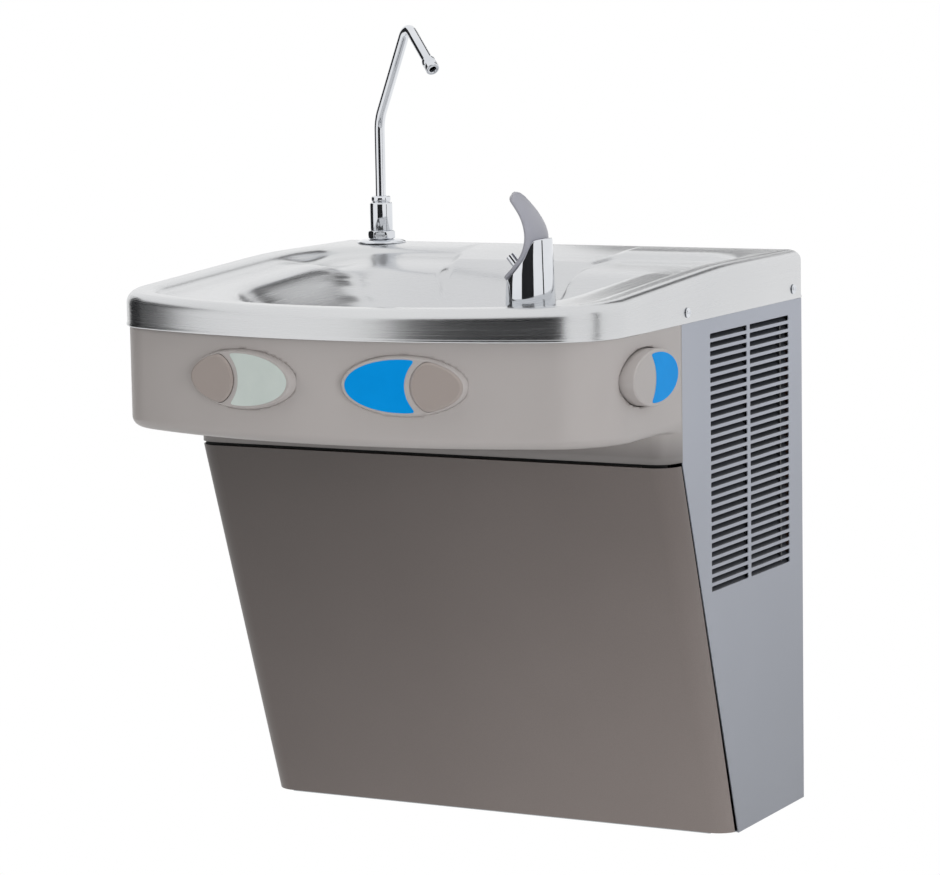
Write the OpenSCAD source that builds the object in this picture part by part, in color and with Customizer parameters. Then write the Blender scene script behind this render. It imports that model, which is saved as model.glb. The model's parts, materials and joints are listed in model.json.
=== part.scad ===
// Wall-hung pressure water cooler: drawn steel basin, bubbler, swivelling glass filler,
// moulded button apron, louvred cabinet and the cooling set inside it.
// +Z up, +X to the viewer's right, the front faces -Y and the wall plane is y = 0.
// The origin lies on the wall plane, centred, level with the underside of the cabinet.

/* [Cabinet] */
// Width over the basin's skirt
body_w = 460; // [420:1:500]
// Height of the basin's skirt edge above the underside
body_h = 451; // [440:1:470]
// Height at which the front panel ends and the apron's neck begins
panel_h = 335; // [325:1:342]
// Depth of the side panels at the bottom
foot_d = 148; // [146:1:156]
// Depth of the side panels where they turn upright
head_d = 258; // [250:1:266]
// Distance of the front panel's face from the wall at its top
face_d = 281.6; // [276:0.1:288]
// Distance of the front panel's face from the wall at its foot
face_foot_d = 162.3; // [160:0.1:168]
// Radius of the front panel's upright corners
face_r = 20; // [16:0.5:22]
// Thickness of the cabinet's steel sheet
sheet_t = 1; // [0.8:0.1:1.2]

/* [Louvres] */
// Rows of slots in each side panel
louvre_rows = 30; // [20:1:30]
// Height of one slot
louvre_h = 4.5; // [3.5:0.1:5]
// Distance from one row to the next
louvre_pitch = 7.39; // [7:0.01:7.5]
// Height of the top of the first row
louvre_top = 438; // [430:1:440]
// Length of a slot in the front column
louvre_front_l = 78.1; // [70:0.1:80]
// Length of a slot in the rear column
louvre_rear_l = 86.2; // [80:0.1:88]
// Distance of the rear column from the wall
louvre_rear_y = 29.9; // [28:0.1:34]
// Bar of steel left between the two columns
louvre_bar = 6.2; // [5:0.1:8]

/* [Basin] */
// Depth of the basin from the wall to the front of the skirt
basin_d = 462.5; // [440:0.5:480]
// Height of the rim above the skirt's edge at the wall
rim_h = 43; // [40:0.5:48]
// Thickness of the drawn steel sheet
basin_t = 1; // [0.8:0.1:1.5]
// Radius of the rolled shoulder round the rim
shoulder_r = 10; // [7:0.5:12]
// Radius of the skirt's front arc in plan
front_r = 504.7; // [480:0.5:560]
// Radius of the skirt's front corners in plan
corner_r = 67; // [60:1:72]
// Radius of the skirt's rear corners in plan
rear_r = 11; // [10.5:0.5:16]
// Fall of the rim for each millimetre towards the front
rim_fall = 0.0605; // [0.05:0.0005:0.07]
// Distance from the wall where the rim starts to fall
fall_y = 165; // [150:1:180]
// Depth of the flat rear deck
deck_d = 58; // [54:1:62]
// Width of the rim's flat crest and roll beside the recess
rim_w = 24; // [20:0.5:27]
// Drop from the rim's crest to the sunk deck
recess_drop = 6.5; // [5:0.5:8]
// Half width of the tongue that runs from the rear deck into the bowl
tongue_half_w = 80; // [70:1:86]
// Half width of the tongue at its tip
tongue_tip_w = 64; // [56:1:68]
// Distance from the wall to the tip of the tongue
tongue_y = 102; // [98:1:108]
// Drop of the tongue from root to tip
tongue_drop = 9.5; // [7:0.5:11]
// Distance from the wall to the front edge of the two shelves
shelf_y = 133; // [128:1:138]
// Drop of the shelves from back to front
shelf_drop = 8; // [6:0.5:10]
// Half width of the bowl at its edge
bowl_half_w = 153; // [148:1:156]
// Distance from the wall to the front edge of the bowl
bowl_front_y = 406; // [400:1:410]
// Depth of the bowl from the front of the shelves to the drain
bowl_drop = 76; // [70:1:82]

/* [Drain] */
// Distance of the drain from the wall
drain_y = 235; // [225:1:245]
// Radius of the drain's opening in the bowl
drain_r = 33; // [30:0.5:36]
// Outer radius of the waste pipe
waste_r = 16; // [14:0.5:17]
// Wall of the waste pipe
waste_t = 2; // [1.5:0.1:2.5]
// Height of the horizontal run of the waste pipe
waste_z = 330; // [326:1:334]

/* [Bubbler] */
// Distance of the bubbler to the right of the middle
bubbler_x = 147; // [144:0.5:149]
// Distance of the bubbler from the wall
bubbler_y = 370; // [368:0.5:372]
// Radius of the bubbler's foot
bubbler_r = 20.5; // [18:0.5:21]
// Height of the bubbler's body at its tall side
bubbler_h = 62; // [58:0.5:66]
// Width of the mouth guard
guard_w = 30; // [24:0.5:34]

/* [Spout] */
// Distance of the filler spout to the left of the middle
spout_x = 178; // [174:0.5:182]
// Distance of the filler spout from the wall
spout_y = 28; // [26:0.5:30]
// Radius of the spout's tube
spout_r = 4.75; // [4:0.05:5.2]
// Height of the upright part of the tube above the collar
spout_rise = 70; // [60:1:90]
// Run of the leaning part towards the bowl
spout_lean = 66; // [60:6:72]
// Rise of the leaning part
spout_lean_h = 88; // [80:8:96]
// Run of the falling end
spout_fall = 48; // [40:4:56]
// Drop of the falling end
spout_fall_h = 36; // [30:3:42]
// Direction in which the spout points at rest, from +X towards the front
spout_turn = 36.8699; // [20:0.0001:50]
// Radius of the spout's wall flange
flange_r = 22.5; // [20:0.5:24]

/* [Buttons] */
// Height of the buttons' centres
button_z = 416; // [412:1:420]
// Distance of the two front buttons' plates from the middle
button_x = 74.5; // [70:0.5:80]
// Length of a front button's plate
plate_l = 106; // [100:1:110]
// Height of a front button's plate
plate_h = 49; // [46:0.5:52]
// How far a plate stands out of the apron
plate_out = 5; // [4:0.5:6]
// Distance of a push disc from the middle of its plate
disc_off = 28; // [26:0.5:30]
// Radius of a push disc
disc_r = 21; // [19:0.5:22]
// Travel of each button
button_travel = 3; // [2:0.5:3.5]
// Radius of the buttons' stems
stem_r = 8; // [7:0.5:9]
// Length of the oval button on the right side
side_button_l = 88; // [80:1:92]
// Height of the oval button on the right side
side_button_h = 46; // [42:1:48]
// How far the oval button stands out of the apron
side_button_out = 11.5; // [9:0.5:13]
// Distance of the oval button's middle from the wall
side_button_y = 332; // [326:1:336]

/* [Apron] */
// Height of the apron's underside
apron_z = 365; // [360:1:370]
// Wall thickness of the apron's moulding
apron_t = 3; // [2.5:0.1:3.5]
// Radius of the apron's lower edge
apron_r = 9; // [7:0.5:11]
// Gap between the skirt and the apron at the front
apron_inset = 5; // [4:0.5:6]

/* [Cooling set] */
// Radius of the compressor's shell
comp_r = 60; // [55:1:62]
// Height of the compressor's shell
comp_h = 150; // [140:1:158]
// Distance of the compressor to the right of the middle
comp_x = 25; // [22:1:28]
// Distance of the compressor from the wall
comp_y = 82; // [80:1:84]
// Radius of the cold water tank
tank_r = 45; // [42:0.5:46]
// Height of the cold water tank
tank_h = 184; // [170:1:190]
// Distance of the tank to the left of the middle
tank_x = 135; // [132:1:138]
// Distance of the tank from the wall
tank_y = 92; // [91:1:93]
// Radius of the evaporator's tube
coil_tube_r = 4; // [3:0.1:4]
// Turns of the evaporator round the tank
coil_turns = 9; // [6:1:10]
// Outer radius of the tank's foam jacket
foam_r = 72; // [70:0.5:72]
// Radius of the fan's blades
fan_r = 70; // [66:0.5:70.5]
// Number of fan blades
fan_blades = 5; // [4:1:6]
// Pitch of the fan's blades
fan_pitch = 34; // [25:1:38]
// Height of the fan's and the condenser's centre
fan_z = 328; // [326:1:330]
// Distance of the fan's centre from the wall
fan_y = 123; // [122.5:0.5:123.5]

/* [Wall fixing] */
// Height of the bracket's lower edge above the underside
bracket_z = 340; // [336:1:344]
// Width of the wall bracket
bracket_w = 360; // [340:1:380]
// Height of the wall bracket
bracket_h = 55; // [50:1:60]
// Thickness of the bracket's steel
bracket_t = 2.5; // [2:0.1:3]
// Space between the wall and the cabinet's back plate
wall_gap = 16; // [14:0.5:17]
// Distance between the fixing holes across
fix_w = 300; // [280:1:320]
// Distance between the fixing holes up and down
fix_h = 30; // [26:1:34]
// Radius of the fixing holes
fix_r = 3.5; // [3:0.1:4]

/* [Hidden] */

over = 1;
run_gap = 0.05;
air_gap = 0.3;
half_w = body_w / 2;
panel_x = half_w - basin_t;
inner_x = panel_x - sheet_t;
rim_z = body_h + rim_h;
steel = [0.70, 0.71, 0.72];
taupe = [0.62, 0.58, 0.56];
dark_taupe = [0.47, 0.43, 0.41];
blue_grey = [0.52, 0.54, 0.60];
chrome = [0.80, 0.81, 0.83];
copper = [0.72, 0.45, 0.30];
zinc = [0.62, 0.64, 0.66];
dark = [0.16, 0.16, 0.17];

// Vector helpers

function unit(v) = v / norm(v);
function lerp(a, b, s) = a + (b - a) * s;
function clamp01(s) = min(max(s, 0), 1);

// Turns the Z axis onto the direction v
module aim(v) {
    u = unit(v);
    rotate([0, acos(u[2]), atan2(u[1], u[0])]) children();
}

// A bent tube: straight lengths through the points with a round bend at each corner
function bend_cut(a, b, c, bend) = bend * tan(acos(unit(b - a) * unit(c - b)) / 2);

module tube_bend(a, b, c, r, bend) {
    u = unit(b - a);
    w = unit(c - b);
    turn = acos(u * w);
    inward = unit(w - u * (u * w));
    start = b - u * bend_cut(a, b, c, bend);
    centre = start + inward * bend;
    axis = cross(-inward, u);
    multmatrix([[-inward[0], u[0], axis[0], centre[0]],
        [-inward[1], u[1], axis[1], centre[1]],
        [-inward[2], u[2], axis[2], centre[2]]])
        rotate_extrude(angle = turn, $fn = 64) translate([bend, 0]) circle(r = r, $fn = 24);
}

module tube_run(pts, r, bends) {
    n = len(pts);
    bend = [for (i = [0 : n - 3]) is_list(bends) ? bends[i] : bends];
    for (i = [0 : n - 2]) {
        a = pts[i];
        b = pts[i + 1];
        u = unit(b - a);
        head = i == 0 ? 0 : bend_cut(pts[i - 1], a, b, bend[i - 1]);
        tail = i == n - 2 ? 0 : bend_cut(a, b, pts[i + 2], bend[i]);
        translate(a + u * head) aim(u) cylinder(r = r, h = norm(b - a) - head - tail, $fn = 24);
    }
    for (i = [1 : 1 : n - 2]) tube_bend(pts[i - 1], pts[i], pts[i + 1], r, bend[i - 1]);
}

// Basin
// Half of a plan outline from the middle of the back, round the right side to the middle of the
// front: straight back, rear corner arc, straight side, front corner arc and front arc.

back_shares = [0, 0.5, 0.96, 1.04];
side_steps = 5;
rear_steps = 4;
corner_steps = 8;
front_steps = 9;

function half_ring(xs, yb, yf, rr, rc, rf, tw) =
    let (y0 = -yf + rf,
        yc = y0 - sqrt(pow(rf - rc, 2) - pow(xs - rc, 2)),
        turn = atan2(yc - y0, xs - rc),
        rear_y = -yb - rr)
    concat(
        [for (s = back_shares) [tw * s, -yb]],
        [[lerp(tw, xs - rr, 0.5), -yb]],
        [for (i = [0 : rear_steps]) let (a = 90 - 90 * i / rear_steps)
            [xs - rr + rr * cos(a), rear_y + rr * sin(a)]],
        [for (i = [1 : side_steps - 1]) [xs, lerp(rear_y, yc, i / side_steps)]],
        [for (i = [0 : corner_steps]) let (a = turn * i / corner_steps)
            [xs - rc + rc * cos(a), yc + rc * sin(a)]],
        [for (i = [1 : front_steps]) let (a = lerp(turn, -90, i / front_steps))
            [rf * cos(a), y0 + rf * sin(a)]]);

function whole_ring(h) = concat([for (p = h) [-p[0], p[1]]],
    [for (i = [len(h) - 2 : -1 : 1]) h[i]]);

function inset_ring(e) = whole_ring(half_ring(half_w - e, e, basin_d - e, max(rear_r - e, 1),
    corner_r - e, front_r - e, tongue_half_w));

function rim_at(y) = rim_z - rim_fall * max(0, -y - fall_y);
function tongue_w_at(y) = lerp(tongue_half_w, tongue_tip_w,
    clamp01((-y - deck_d) / (tongue_y - deck_d)));
function tongue_at(y) = rim_z - tongue_drop * clamp01((-y - spout_y) / (tongue_y - spout_y));
function on_tongue(p, s) = -p[1] <= tongue_y && abs(p[0]) < tongue_w_at(p[1]) * s;

// The sunk deck beside the bowl, the sloping shelves behind it and the tongue between them
recess_r = 46;
recess_wall = 5;
recess_corner_r = 44;
shelf_step = 8;
function shelf_at(y) = rim_z - shelf_step
    - shelf_drop * clamp01((-y - deck_d - recess_wall) / (shelf_y - deck_d - recess_wall));
function sunk_at(p) = let (side = clamp01((-p[1] - shelf_y) / recess_r))
    lerp(shelf_at(p[1]), rim_at(p[1]) - recess_drop, side);
function deck_at(p) = on_tongue(p, 1) ? tongue_at(p[1]) : sunk_at(p);

bowl_corner_r = 106;
bowl_rear_r = 34;
ledge_fall = 2;
middle_drop = 20;
// How far in from the skirt each ring of the rolled rim lies, and how far under the crest
function rim_ring(e, under) = [for (p = inset_ring(e)) [p[0], p[1], rim_at(p[1]) - under]];
skirt_ring = [for (p = inset_ring(0)) [p[0], p[1], body_h]];
shoulder_turns = [0, 30, 60, 90];
recess_top = whole_ring(half_ring(half_w - rim_w, deck_d, basin_d - rim_w, recess_r,
    recess_corner_r, front_r - rim_w, tongue_half_w));
recess_foot = whole_ring(half_ring(half_w - rim_w - recess_wall, deck_d + recess_wall,
    basin_d - rim_w - recess_wall, recess_r - recess_wall, recess_corner_r - recess_wall,
    front_r - rim_w - recess_wall, tongue_half_w));
shelf_ring = whole_ring(half_ring(bowl_half_w + recess_wall, tongue_y - over,
    bowl_front_y + recess_wall, bowl_rear_r + recess_wall, bowl_corner_r + recess_wall,
    front_r - rim_w, tongue_tip_w));
bowl_ring = whole_ring(half_ring(bowl_half_w, shelf_y, bowl_front_y, bowl_rear_r, bowl_corner_r,
    front_r - rim_w, tongue_tip_w));
bowl_edge = [for (p = bowl_ring) let (back = -p[1] < shelf_y + over)
    [p[0], p[1], back && abs(p[0]) < tongue_tip_w ? shelf_at(p[1]) - middle_drop
        : back ? shelf_at(p[1]) : sunk_at(p) - ledge_fall]];
drain_z = rim_z - shelf_step - shelf_drop - bowl_drop;
bowl_shares = [0.1, 0.22, 0.36, 0.52, 0.68, 0.84, 1];
bowl_power = 2.3;
function bowl_point(p, s) = let (c = [0, -drain_y],
        q = c + unit([p[0], p[1]] - c) * drain_r,
        xy = lerp([p[0], p[1]], q, s))
    [xy[0], xy[1], lerp(p[2], drain_z, 1 - pow(1 - s, bowl_power))];

basin_rings = concat([skirt_ring],
    [for (a = shoulder_turns) rim_ring(shoulder_r * (1 - cos(a)), shoulder_r * (1 - sin(a)))],
    [[for (p = recess_top) [p[0], p[1], on_tongue(p, 1) ? tongue_at(p[1]) : rim_at(p[1])]]],
    [[for (p = recess_foot) [p[0], p[1],
        on_tongue(p, 1) ? tongue_at(p[1]) : -p[1] < deck_d + recess_r ? deck_at(p)
            : rim_at(p[1]) - recess_drop]]],
    [[for (p = shelf_ring) [p[0], p[1], deck_at(p)]]],
    [bowl_edge],
    [for (s = bowl_shares) [for (p = bowl_edge) bowl_point(p, s)]]);

// Point normals of a closed strip of rings, from the neighbours along and across the ring
function ring_normal(rings, k, i) = let (n = len(rings[0]), last = len(rings) - 1,
        along = rings[k][(i + 1) % n] - rings[k][(i + n - 1) % n],
        across = rings[min(k + 1, last)][i] - rings[max(k - 1, 0)][i])
    unit(cross(across, along));

// A sheet of thickness t under a strip of rings, closed at its first and last ring
module ring_sheet(rings, t) {
    m = len(rings);
    n = len(rings[0]);
    under = [for (k = [0 : m - 1]) [for (i = [0 : n - 1])
        rings[k][i] + ring_normal(rings, k, i) * t]];
    pts = concat([for (r = rings) for (p = r) p], [for (r = under) for (p = r) p]);
    back = m * n;
    faces = concat(
        [for (k = [0 : m - 2]) for (i = [0 : n - 1]) let (j = (i + 1) % n)
            each [[k * n + i, (k + 1) * n + i, (k + 1) * n + j], [k * n + i, (k + 1) * n + j, k * n + j]]],
        [for (k = [0 : m - 2]) for (i = [0 : n - 1]) let (j = (i + 1) % n)
            each [[back + k * n + i, back + (k + 1) * n + j, back + (k + 1) * n + i],
                [back + k * n + i, back + k * n + j, back + (k + 1) * n + j]]],
        [for (i = [0 : n - 1]) let (j = (i + 1) % n)
            each [[i, j, back + j], [i, back + j, back + i]]],
        [for (i = [0 : n - 1]) let (j = (i + 1) % n, a = (m - 1) * n)
            each [[a + i, back + a + j, a + j], [a + i, back + a + i, back + a + j]]]);
    polyhedron(pts, faces, convexity = 8);
}

shank_r = 6;
shank_gap = 0.3;
bubbler_shank_r = 9;
bubbler_foot_z = rim_at(-bubbler_y) - recess_drop;
deck_cut_h = 20;

module basin() {
    color(steel) difference() {
        ring_sheet(basin_rings, basin_t);
        translate([-spout_x, -spout_y, rim_z - deck_cut_h / 2])
            cylinder(r = shank_r + shank_gap, h = deck_cut_h, $fn = 48);
        translate([bubbler_x, -bubbler_y, bubbler_foot_z - deck_cut_h / 2])
            cylinder(r = bubbler_shank_r + shank_gap, h = deck_cut_h, $fn = 48);
    }
}

// Drain

strainer_t = 1.5;
strainer_lip = 5;
cup_h = 22;
cup_t = 2;
gasket_t = 2.5;
nut_h = 8;
thread_r = waste_r + 3;
cup_r = drain_r - 2;
tail_h = 28;
hole_r = 2.4;
hole_rings = [[9, 6], [16.5, 12], [24, 18]];

module drain_strainer() {
    color(chrome) difference() {
        translate([0, -drain_y, drain_z - cup_h / 3])
            cylinder(r = cup_r - cup_t - air_gap, h = strainer_t, $fn = 64);
        for (ring = hole_rings) for (i = [0 : ring[1] - 1])
            translate([0, -drain_y, drain_z - cup_h]) rotate(360 * i / ring[1])
                translate([ring[0], 0]) cylinder(r = hole_r, h = cup_h * 2, $fn = 16);
    }
}

// The cup hangs in the bowl's opening by its lip and runs down into a threaded tail
module drain_body() {
    ledge_z = drain_z - cup_h / 3;
    color(zinc) translate([0, -drain_y]) rotate_extrude($fn = 96) polygon([
        [cup_r - cup_t, drain_z + air_gap + strainer_t],
        [drain_r + strainer_lip, drain_z + air_gap + strainer_t],
        [drain_r + strainer_lip, drain_z + air_gap + strainer_t / 2],
        [cup_r, drain_z + air_gap],
        [cup_r, drain_z - cup_h],
        [thread_r, drain_z - cup_h],
        [thread_r, drain_z - cup_h - tail_h],
        [waste_r + air_gap, drain_z - cup_h - tail_h],
        [waste_r + air_gap, drain_z - cup_h + cup_t],
        [cup_r - cup_t - strainer_t * 2, drain_z - cup_h + cup_t],
        [cup_r - cup_t - strainer_t * 2, ledge_z],
        [cup_r - cup_t, ledge_z]]);
}

module drain_gasket() {
    color(dark) translate([0, -drain_y, drain_z - basin_t * 2 - gasket_t - cup_h / 3]) difference() {
        cylinder(r = drain_r + strainer_lip, h = gasket_t + cup_h / 4, $fn = 64);
        translate([0, 0, -over]) cylinder(r = cup_r + air_gap, h = gasket_t + cup_h, $fn = 64);
    }
}

module drain_nut() {
    color(zinc) translate([0, -drain_y, drain_z - basin_t * 2 - gasket_t - cup_h / 3 - nut_h]) difference() {
        cylinder(r = drain_r + strainer_lip, h = nut_h, $fn = 6);
        translate([0, 0, -over]) cylinder(r = cup_r + air_gap, h = nut_h + over * 2, $fn = 64);
    }
}

// A ring on a wall pipe, close in front of the back sheet
stop_w = 4;
stop_t = 2;
module stop_ring(x, z, r) {
    translate([x, air_gap + stop_t - wall_gap, z]) rotate([90, 0, 0]) cylinder(r = r, h = stop_t, $fn = 64);
}

waste_bend = 20;
waste_end = 2;
module waste_elbow() {
    top = [0, -drain_y, drain_z - cup_h - tail_h / 2];
    knee = [0, -drain_y, waste_z];
    out = [0, -waste_end, waste_z];
    color([0.85, 0.85, 0.84]) difference() {
        union() {
            tube_run([top, knee, out], waste_r, waste_bend);
            stop_ring(0, waste_z, waste_r + stop_w);
        }
        tube_run([top + [0, 0, over], knee, out + [0, over, 0]], waste_r - waste_t, waste_bend);
    }
}

// Bubbler

bubbler_low = 19;
bubbler_slope = atan((bubbler_h - bubbler_low) / (bubbler_r * 2));
bubbler_shank_l = 38;
bubbler_bore_r = 5;
nozzle_r = 4;
nozzle_l = 12;
nozzle_bore_r = 1.8;
nozzle_x = 10;
nozzle_tilt = 40;
module at_bubbler() { translate([bubbler_x, -bubbler_y, bubbler_foot_z]) children(); }

// The body's outline: a cylinder on the sloping ledge, cut by a slope that rises to the right
module bubbler_form() {
    difference() {
        translate([0, 0, -over]) cylinder(r = bubbler_r, h = bubbler_h + over, $fn = 96);
        translate([0, 0, air_gap]) rotate([atan(rim_fall), 0, 0])
            translate([-bubbler_h, -bubbler_h, -bubbler_h]) cube([bubbler_h * 2, bubbler_h * 2, bubbler_h]);
        translate([-bubbler_r, 0, bubbler_low]) rotate([0, -bubbler_slope, 0])
            translate([-bubbler_h, -bubbler_h, 0]) cube([bubbler_h * 4, bubbler_h * 2, bubbler_h * 2]);
    }
}

// A round length on the jet's axis, from below the slope to above it
module jet(r, back, out) {
    translate([-nozzle_x, 0, bubbler_low + (bubbler_r - nozzle_x) * tan(bubbler_slope)])
        rotate([0, -nozzle_tilt, 0]) translate([0, 0, -back]) cylinder(r = r, h = back + out, $fn = 32);
}

module bubbler_body() {
    color(chrome) at_bubbler() difference() {
        union() {
            bubbler_form();
            translate([0, 0, -bubbler_shank_l])
                cylinder(r = bubbler_shank_r, h = bubbler_shank_l + over, $fn = 48);
        }
        translate([0, 0, -bubbler_shank_l - over])
            cylinder(r = bubbler_bore_r, h = bubbler_shank_l + bubbler_low, $fn = 32);
        jet(nozzle_bore_r, bubbler_r, nozzle_l);
    }
}

// The guard's side view as shares of the body's radius and height: a plate on the slope that
// ends in a lip below the jet and rises behind it into a hood.
guard_x_shares = [-1.22, -1.05, 0, 1.17, 1.09, 0.66, 0.1, -0.6, -0.96, -0.5, -0.2, -0.17, -0.2, -0.64];
guard_z_shares = [0.38, 0.30, 0.5, 0.95, 1.05, 1.22, 1.41, 1.5, 1.42, 1.33, 1.1, 0.95, 0.82, 0.54];

module mouth_guard() {
    color([0.45, 0.44, 0.46]) at_bubbler() difference() {
        translate([0, guard_w / 2]) rotate([90, 0, 0]) linear_extrude(guard_w)
            polygon([for (i = [0 : len(guard_x_shares) - 1])
                [guard_x_shares[i] * bubbler_r, guard_z_shares[i] * bubbler_h]]);
        bubbler_form();
        jet(nozzle_r + air_gap, nozzle_r, nozzle_l * 2);
    }
}

module bubbler_nozzle() {
    color(chrome) at_bubbler() difference() {
        jet(nozzle_r, 0, nozzle_l);
        bubbler_form();
        jet(nozzle_bore_r, over, nozzle_l + over);
    }
}

// Filler spout

flange_t = 3;
spout_nut_h = 8;
spout_nut_r = 12.5;
spout_body_r = 10.5;
spout_body_h = 26;
collar_r = 9;
collar_h = 6;
spout_shank_l = 40;
socket_h = 16;
spout_bend = 12;
spout_t = 1;
apex_bend = 12;
tip_r = 6.2;
tip_l = 13;
tip_hole_r = 3.2;
spout_foot = flange_t + spout_nut_h;
spout_top = spout_foot + spout_body_h + collar_h;
socket_z = spout_top - socket_h;
module at_spout() { translate([-spout_x, -spout_y, rim_z]) rotate([0, 0, -spout_turn]) children(); }

module spout_flange() {
    color(chrome) at_spout() rotate_extrude($fn = 96) polygon([[shank_r + air_gap, 0], [flange_r, 0],
        [flange_r, flange_t / 3], [flange_r - flange_t, flange_t], [shank_r + air_gap, flange_t]]);
}

module spout_nut() {
    color(chrome) at_spout() translate([0, 0, flange_t]) difference() {
        cylinder(r = spout_nut_r, h = spout_nut_h, $fn = 6);
        translate([0, 0, -over]) cylinder(r = shank_r + air_gap, h = spout_nut_h + over * 2, $fn = 48);
    }
}

// Body, collar and the threaded shank under the deck, with the socket that the tube turns in
module spout_body() {
    color(chrome) at_spout() difference() {
        union() {
            translate([0, 0, -spout_shank_l]) cylinder(r = shank_r, h = spout_shank_l + spout_foot, $fn = 48);
            translate([0, 0, spout_foot]) cylinder(r = spout_body_r, h = spout_body_h, $fn = 64);
            translate([0, 0, spout_foot + spout_body_h]) cylinder(r = collar_r, h = collar_h, $fn = 64);
        }
        translate([0, 0, socket_z]) cylinder(r = spout_r + run_gap, h = socket_h + over, $fn = 48);
        translate([0, 0, -spout_shank_l - over])
            cylinder(r = tip_hole_r, h = spout_shank_l + socket_z + over * 2, $fn = 32);
    }
}

bend_z = spout_top + spout_rise;
apex_pt = [spout_lean, 0, bend_z + spout_lean_h];
end_pt = apex_pt + [spout_fall, 0, -spout_fall_h];
end_dir = unit(end_pt - apex_pt);

module spout_tube() {
    color(chrome) at_spout()
        difference() {
            tube_run([[0, 0, socket_z + air_gap], [0, 0, bend_z], apex_pt, end_pt], spout_r,
                [spout_bend, apex_bend]);
            cylinder(r = spout_r - spout_t, h = bend_z - spout_bend, $fn = 48);
            translate(end_pt) aim(-end_dir) translate([0, 0, -over])
                cylinder(r = spout_r - spout_t, h = spout_bend, $fn = 48);
        }
}

module spout_tip() {
    color(chrome) at_spout() translate(end_pt - end_dir * tip_l / 2) aim(end_dir) difference() {
        cylinder(r = tip_r, h = tip_l, $fn = 48);
        translate([0, 0, -over]) cylinder(r = spout_r, h = tip_l / 2 + over, $fn = 48);
        cylinder(r = tip_hole_r, h = tip_l + over, $fn = 32);
    }
}

deck_nut_h = 8;
washer_h = 2.4;
module deck_nut(r) {
    difference() {
        cylinder(r = r * 1.7, h = deck_nut_h, $fn = 6);
        translate([0, 0, -over]) cylinder(r = r + air_gap, h = deck_nut_h + over * 2, $fn = 48);
    }
}
module deck_nuts() {
    color(zinc) {
        translate([-spout_x, -spout_y, rim_z - basin_t - deck_nut_h - air_gap]) deck_nut(shank_r);
        translate([bubbler_x, -bubbler_y, bubbler_foot_z - basin_t - washer_h - over]) {
            translate([0, 0, -deck_nut_h]) deck_nut(bubbler_shank_r);
            difference() {
                cylinder(r = bubbler_shank_r * 1.2, h = washer_h, $fn = 48);
                translate([0, 0, -over]) cylinder(r = bubbler_shank_r + air_gap, h = washer_h * 2, $fn = 48);
            }
        }
    }
}

// Apron
// Each station on the bulge's outline has a partner on the neck's outline behind and below it.

apron_top = body_h + 11;
neck_z = panel_h + 2;
neck_fillet = 4;
bulge_sag = 2;
seam_y = head_d;
arc_y0 = front_r - basin_d;
apron_front_r = front_r - apron_inset;
apron_corner_r = corner_r - apron_inset + basin_t;
apron_side_steps = 4;
apron_half = let (y0 = arc_y0,
        xs = panel_x,
        rf = apron_front_r,
        rc = apron_corner_r,
        yc = y0 - sqrt(pow(rf - rc, 2) - pow(xs - rc, 2)),
        turn = atan2(yc - y0, xs - rc))
    concat(
        [for (i = [0 : apron_side_steps - 1]) [xs, lerp(-seam_y, yc, i / apron_side_steps), 0]],
        [for (i = [0 : corner_steps]) let (a = turn * i / corner_steps)
            [xs - rc + rc * cos(a), yc + rc * sin(a), a]],
        [for (i = [1 : front_steps]) let (a = lerp(turn, -90, i / front_steps))
            [rf * cos(a), y0 + rf * sin(a), a]]);
neck_arc = face_r * PI / 2;
function neck_at(s) = let (run = s * (neck_arc + panel_x - face_r))
    run < neck_arc ? let (a = -90 * run / neck_arc)
        [panel_x - face_r + face_r * cos(a), -face_d + face_r + face_r * sin(a), a]
        : [panel_x - face_r - (run - neck_arc), -face_d, -90];
apron_n = len(apron_half) - 1;
neck_half = [for (i = [0 : apron_n]) let (p = neck_at(i / apron_n))
    i == 0 ? [panel_x, -seam_y, 0] : p];

round_turns = [30, 60, 90];
function outer_section(a, b) = let (gap = [b[0] - a[0], b[1] - a[1]],
        d = norm(gap),
        dir = d < over ? [0, 0] : gap / d,
        r = min(apron_r, d / 3),
        f = min(neck_fillet, d / 3))
    concat([[a[0], a[1], apron_top], [a[0], a[1], apron_z + apron_r]],
        [for (t = round_turns) [a[0] + dir[0] * r * (1 - cos(t)), a[1] + dir[1] * r * (1 - cos(t)),
            apron_z + apron_r * (1 - sin(t))]],
        [[b[0] - dir[0] * f, b[1] - dir[1] * f, apron_z - bulge_sag],
            [b[0], b[1], apron_z - bulge_sag - neck_fillet], [b[0], b[1], neck_z]]);
function inner_section(a, b) = let (na = [-cos(a[2]), -sin(a[2])] * apron_t,
        nb = [-cos(b[2]), -sin(b[2])] * apron_t,
        ai = [a[0] + na[0], a[1] + na[1]],
        bi = [b[0] + nb[0], b[1] + nb[1]],
        gap = bi - ai,
        d = norm(gap),
        dir = d < over ? [0, 0] : gap / d,
        r = min(apron_r - apron_t, d / 3))
    concat([[ai[0], ai[1], apron_top], [ai[0], ai[1], apron_z + apron_r]],
        [for (t = round_turns) [ai[0] + dir[0] * r * (1 - cos(t)), ai[1] + dir[1] * r * (1 - cos(t)),
            apron_z + apron_r - (apron_r - apron_t) * sin(t)]],
        [[bi[0] - dir[0] * over, bi[1] - dir[1] * over, apron_z + apron_t - bulge_sag],
            [bi[0], bi[1], apron_z - bulge_sag - neck_fillet], [bi[0], bi[1], neck_z]]);
function mirrored(p) = [-p[0], p[1], p[2]];
apron_sections = let (half = [for (i = [0 : apron_n])
        concat(outer_section(apron_half[i], neck_half[i]),
            [for (q = [7 : -1 : 0]) inner_section(apron_half[i], neck_half[i])[q]])])
    concat(half, [for (i = [apron_n - 1 : -1 : 0]) [for (p = half[i]) mirrored(p)]]);

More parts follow.
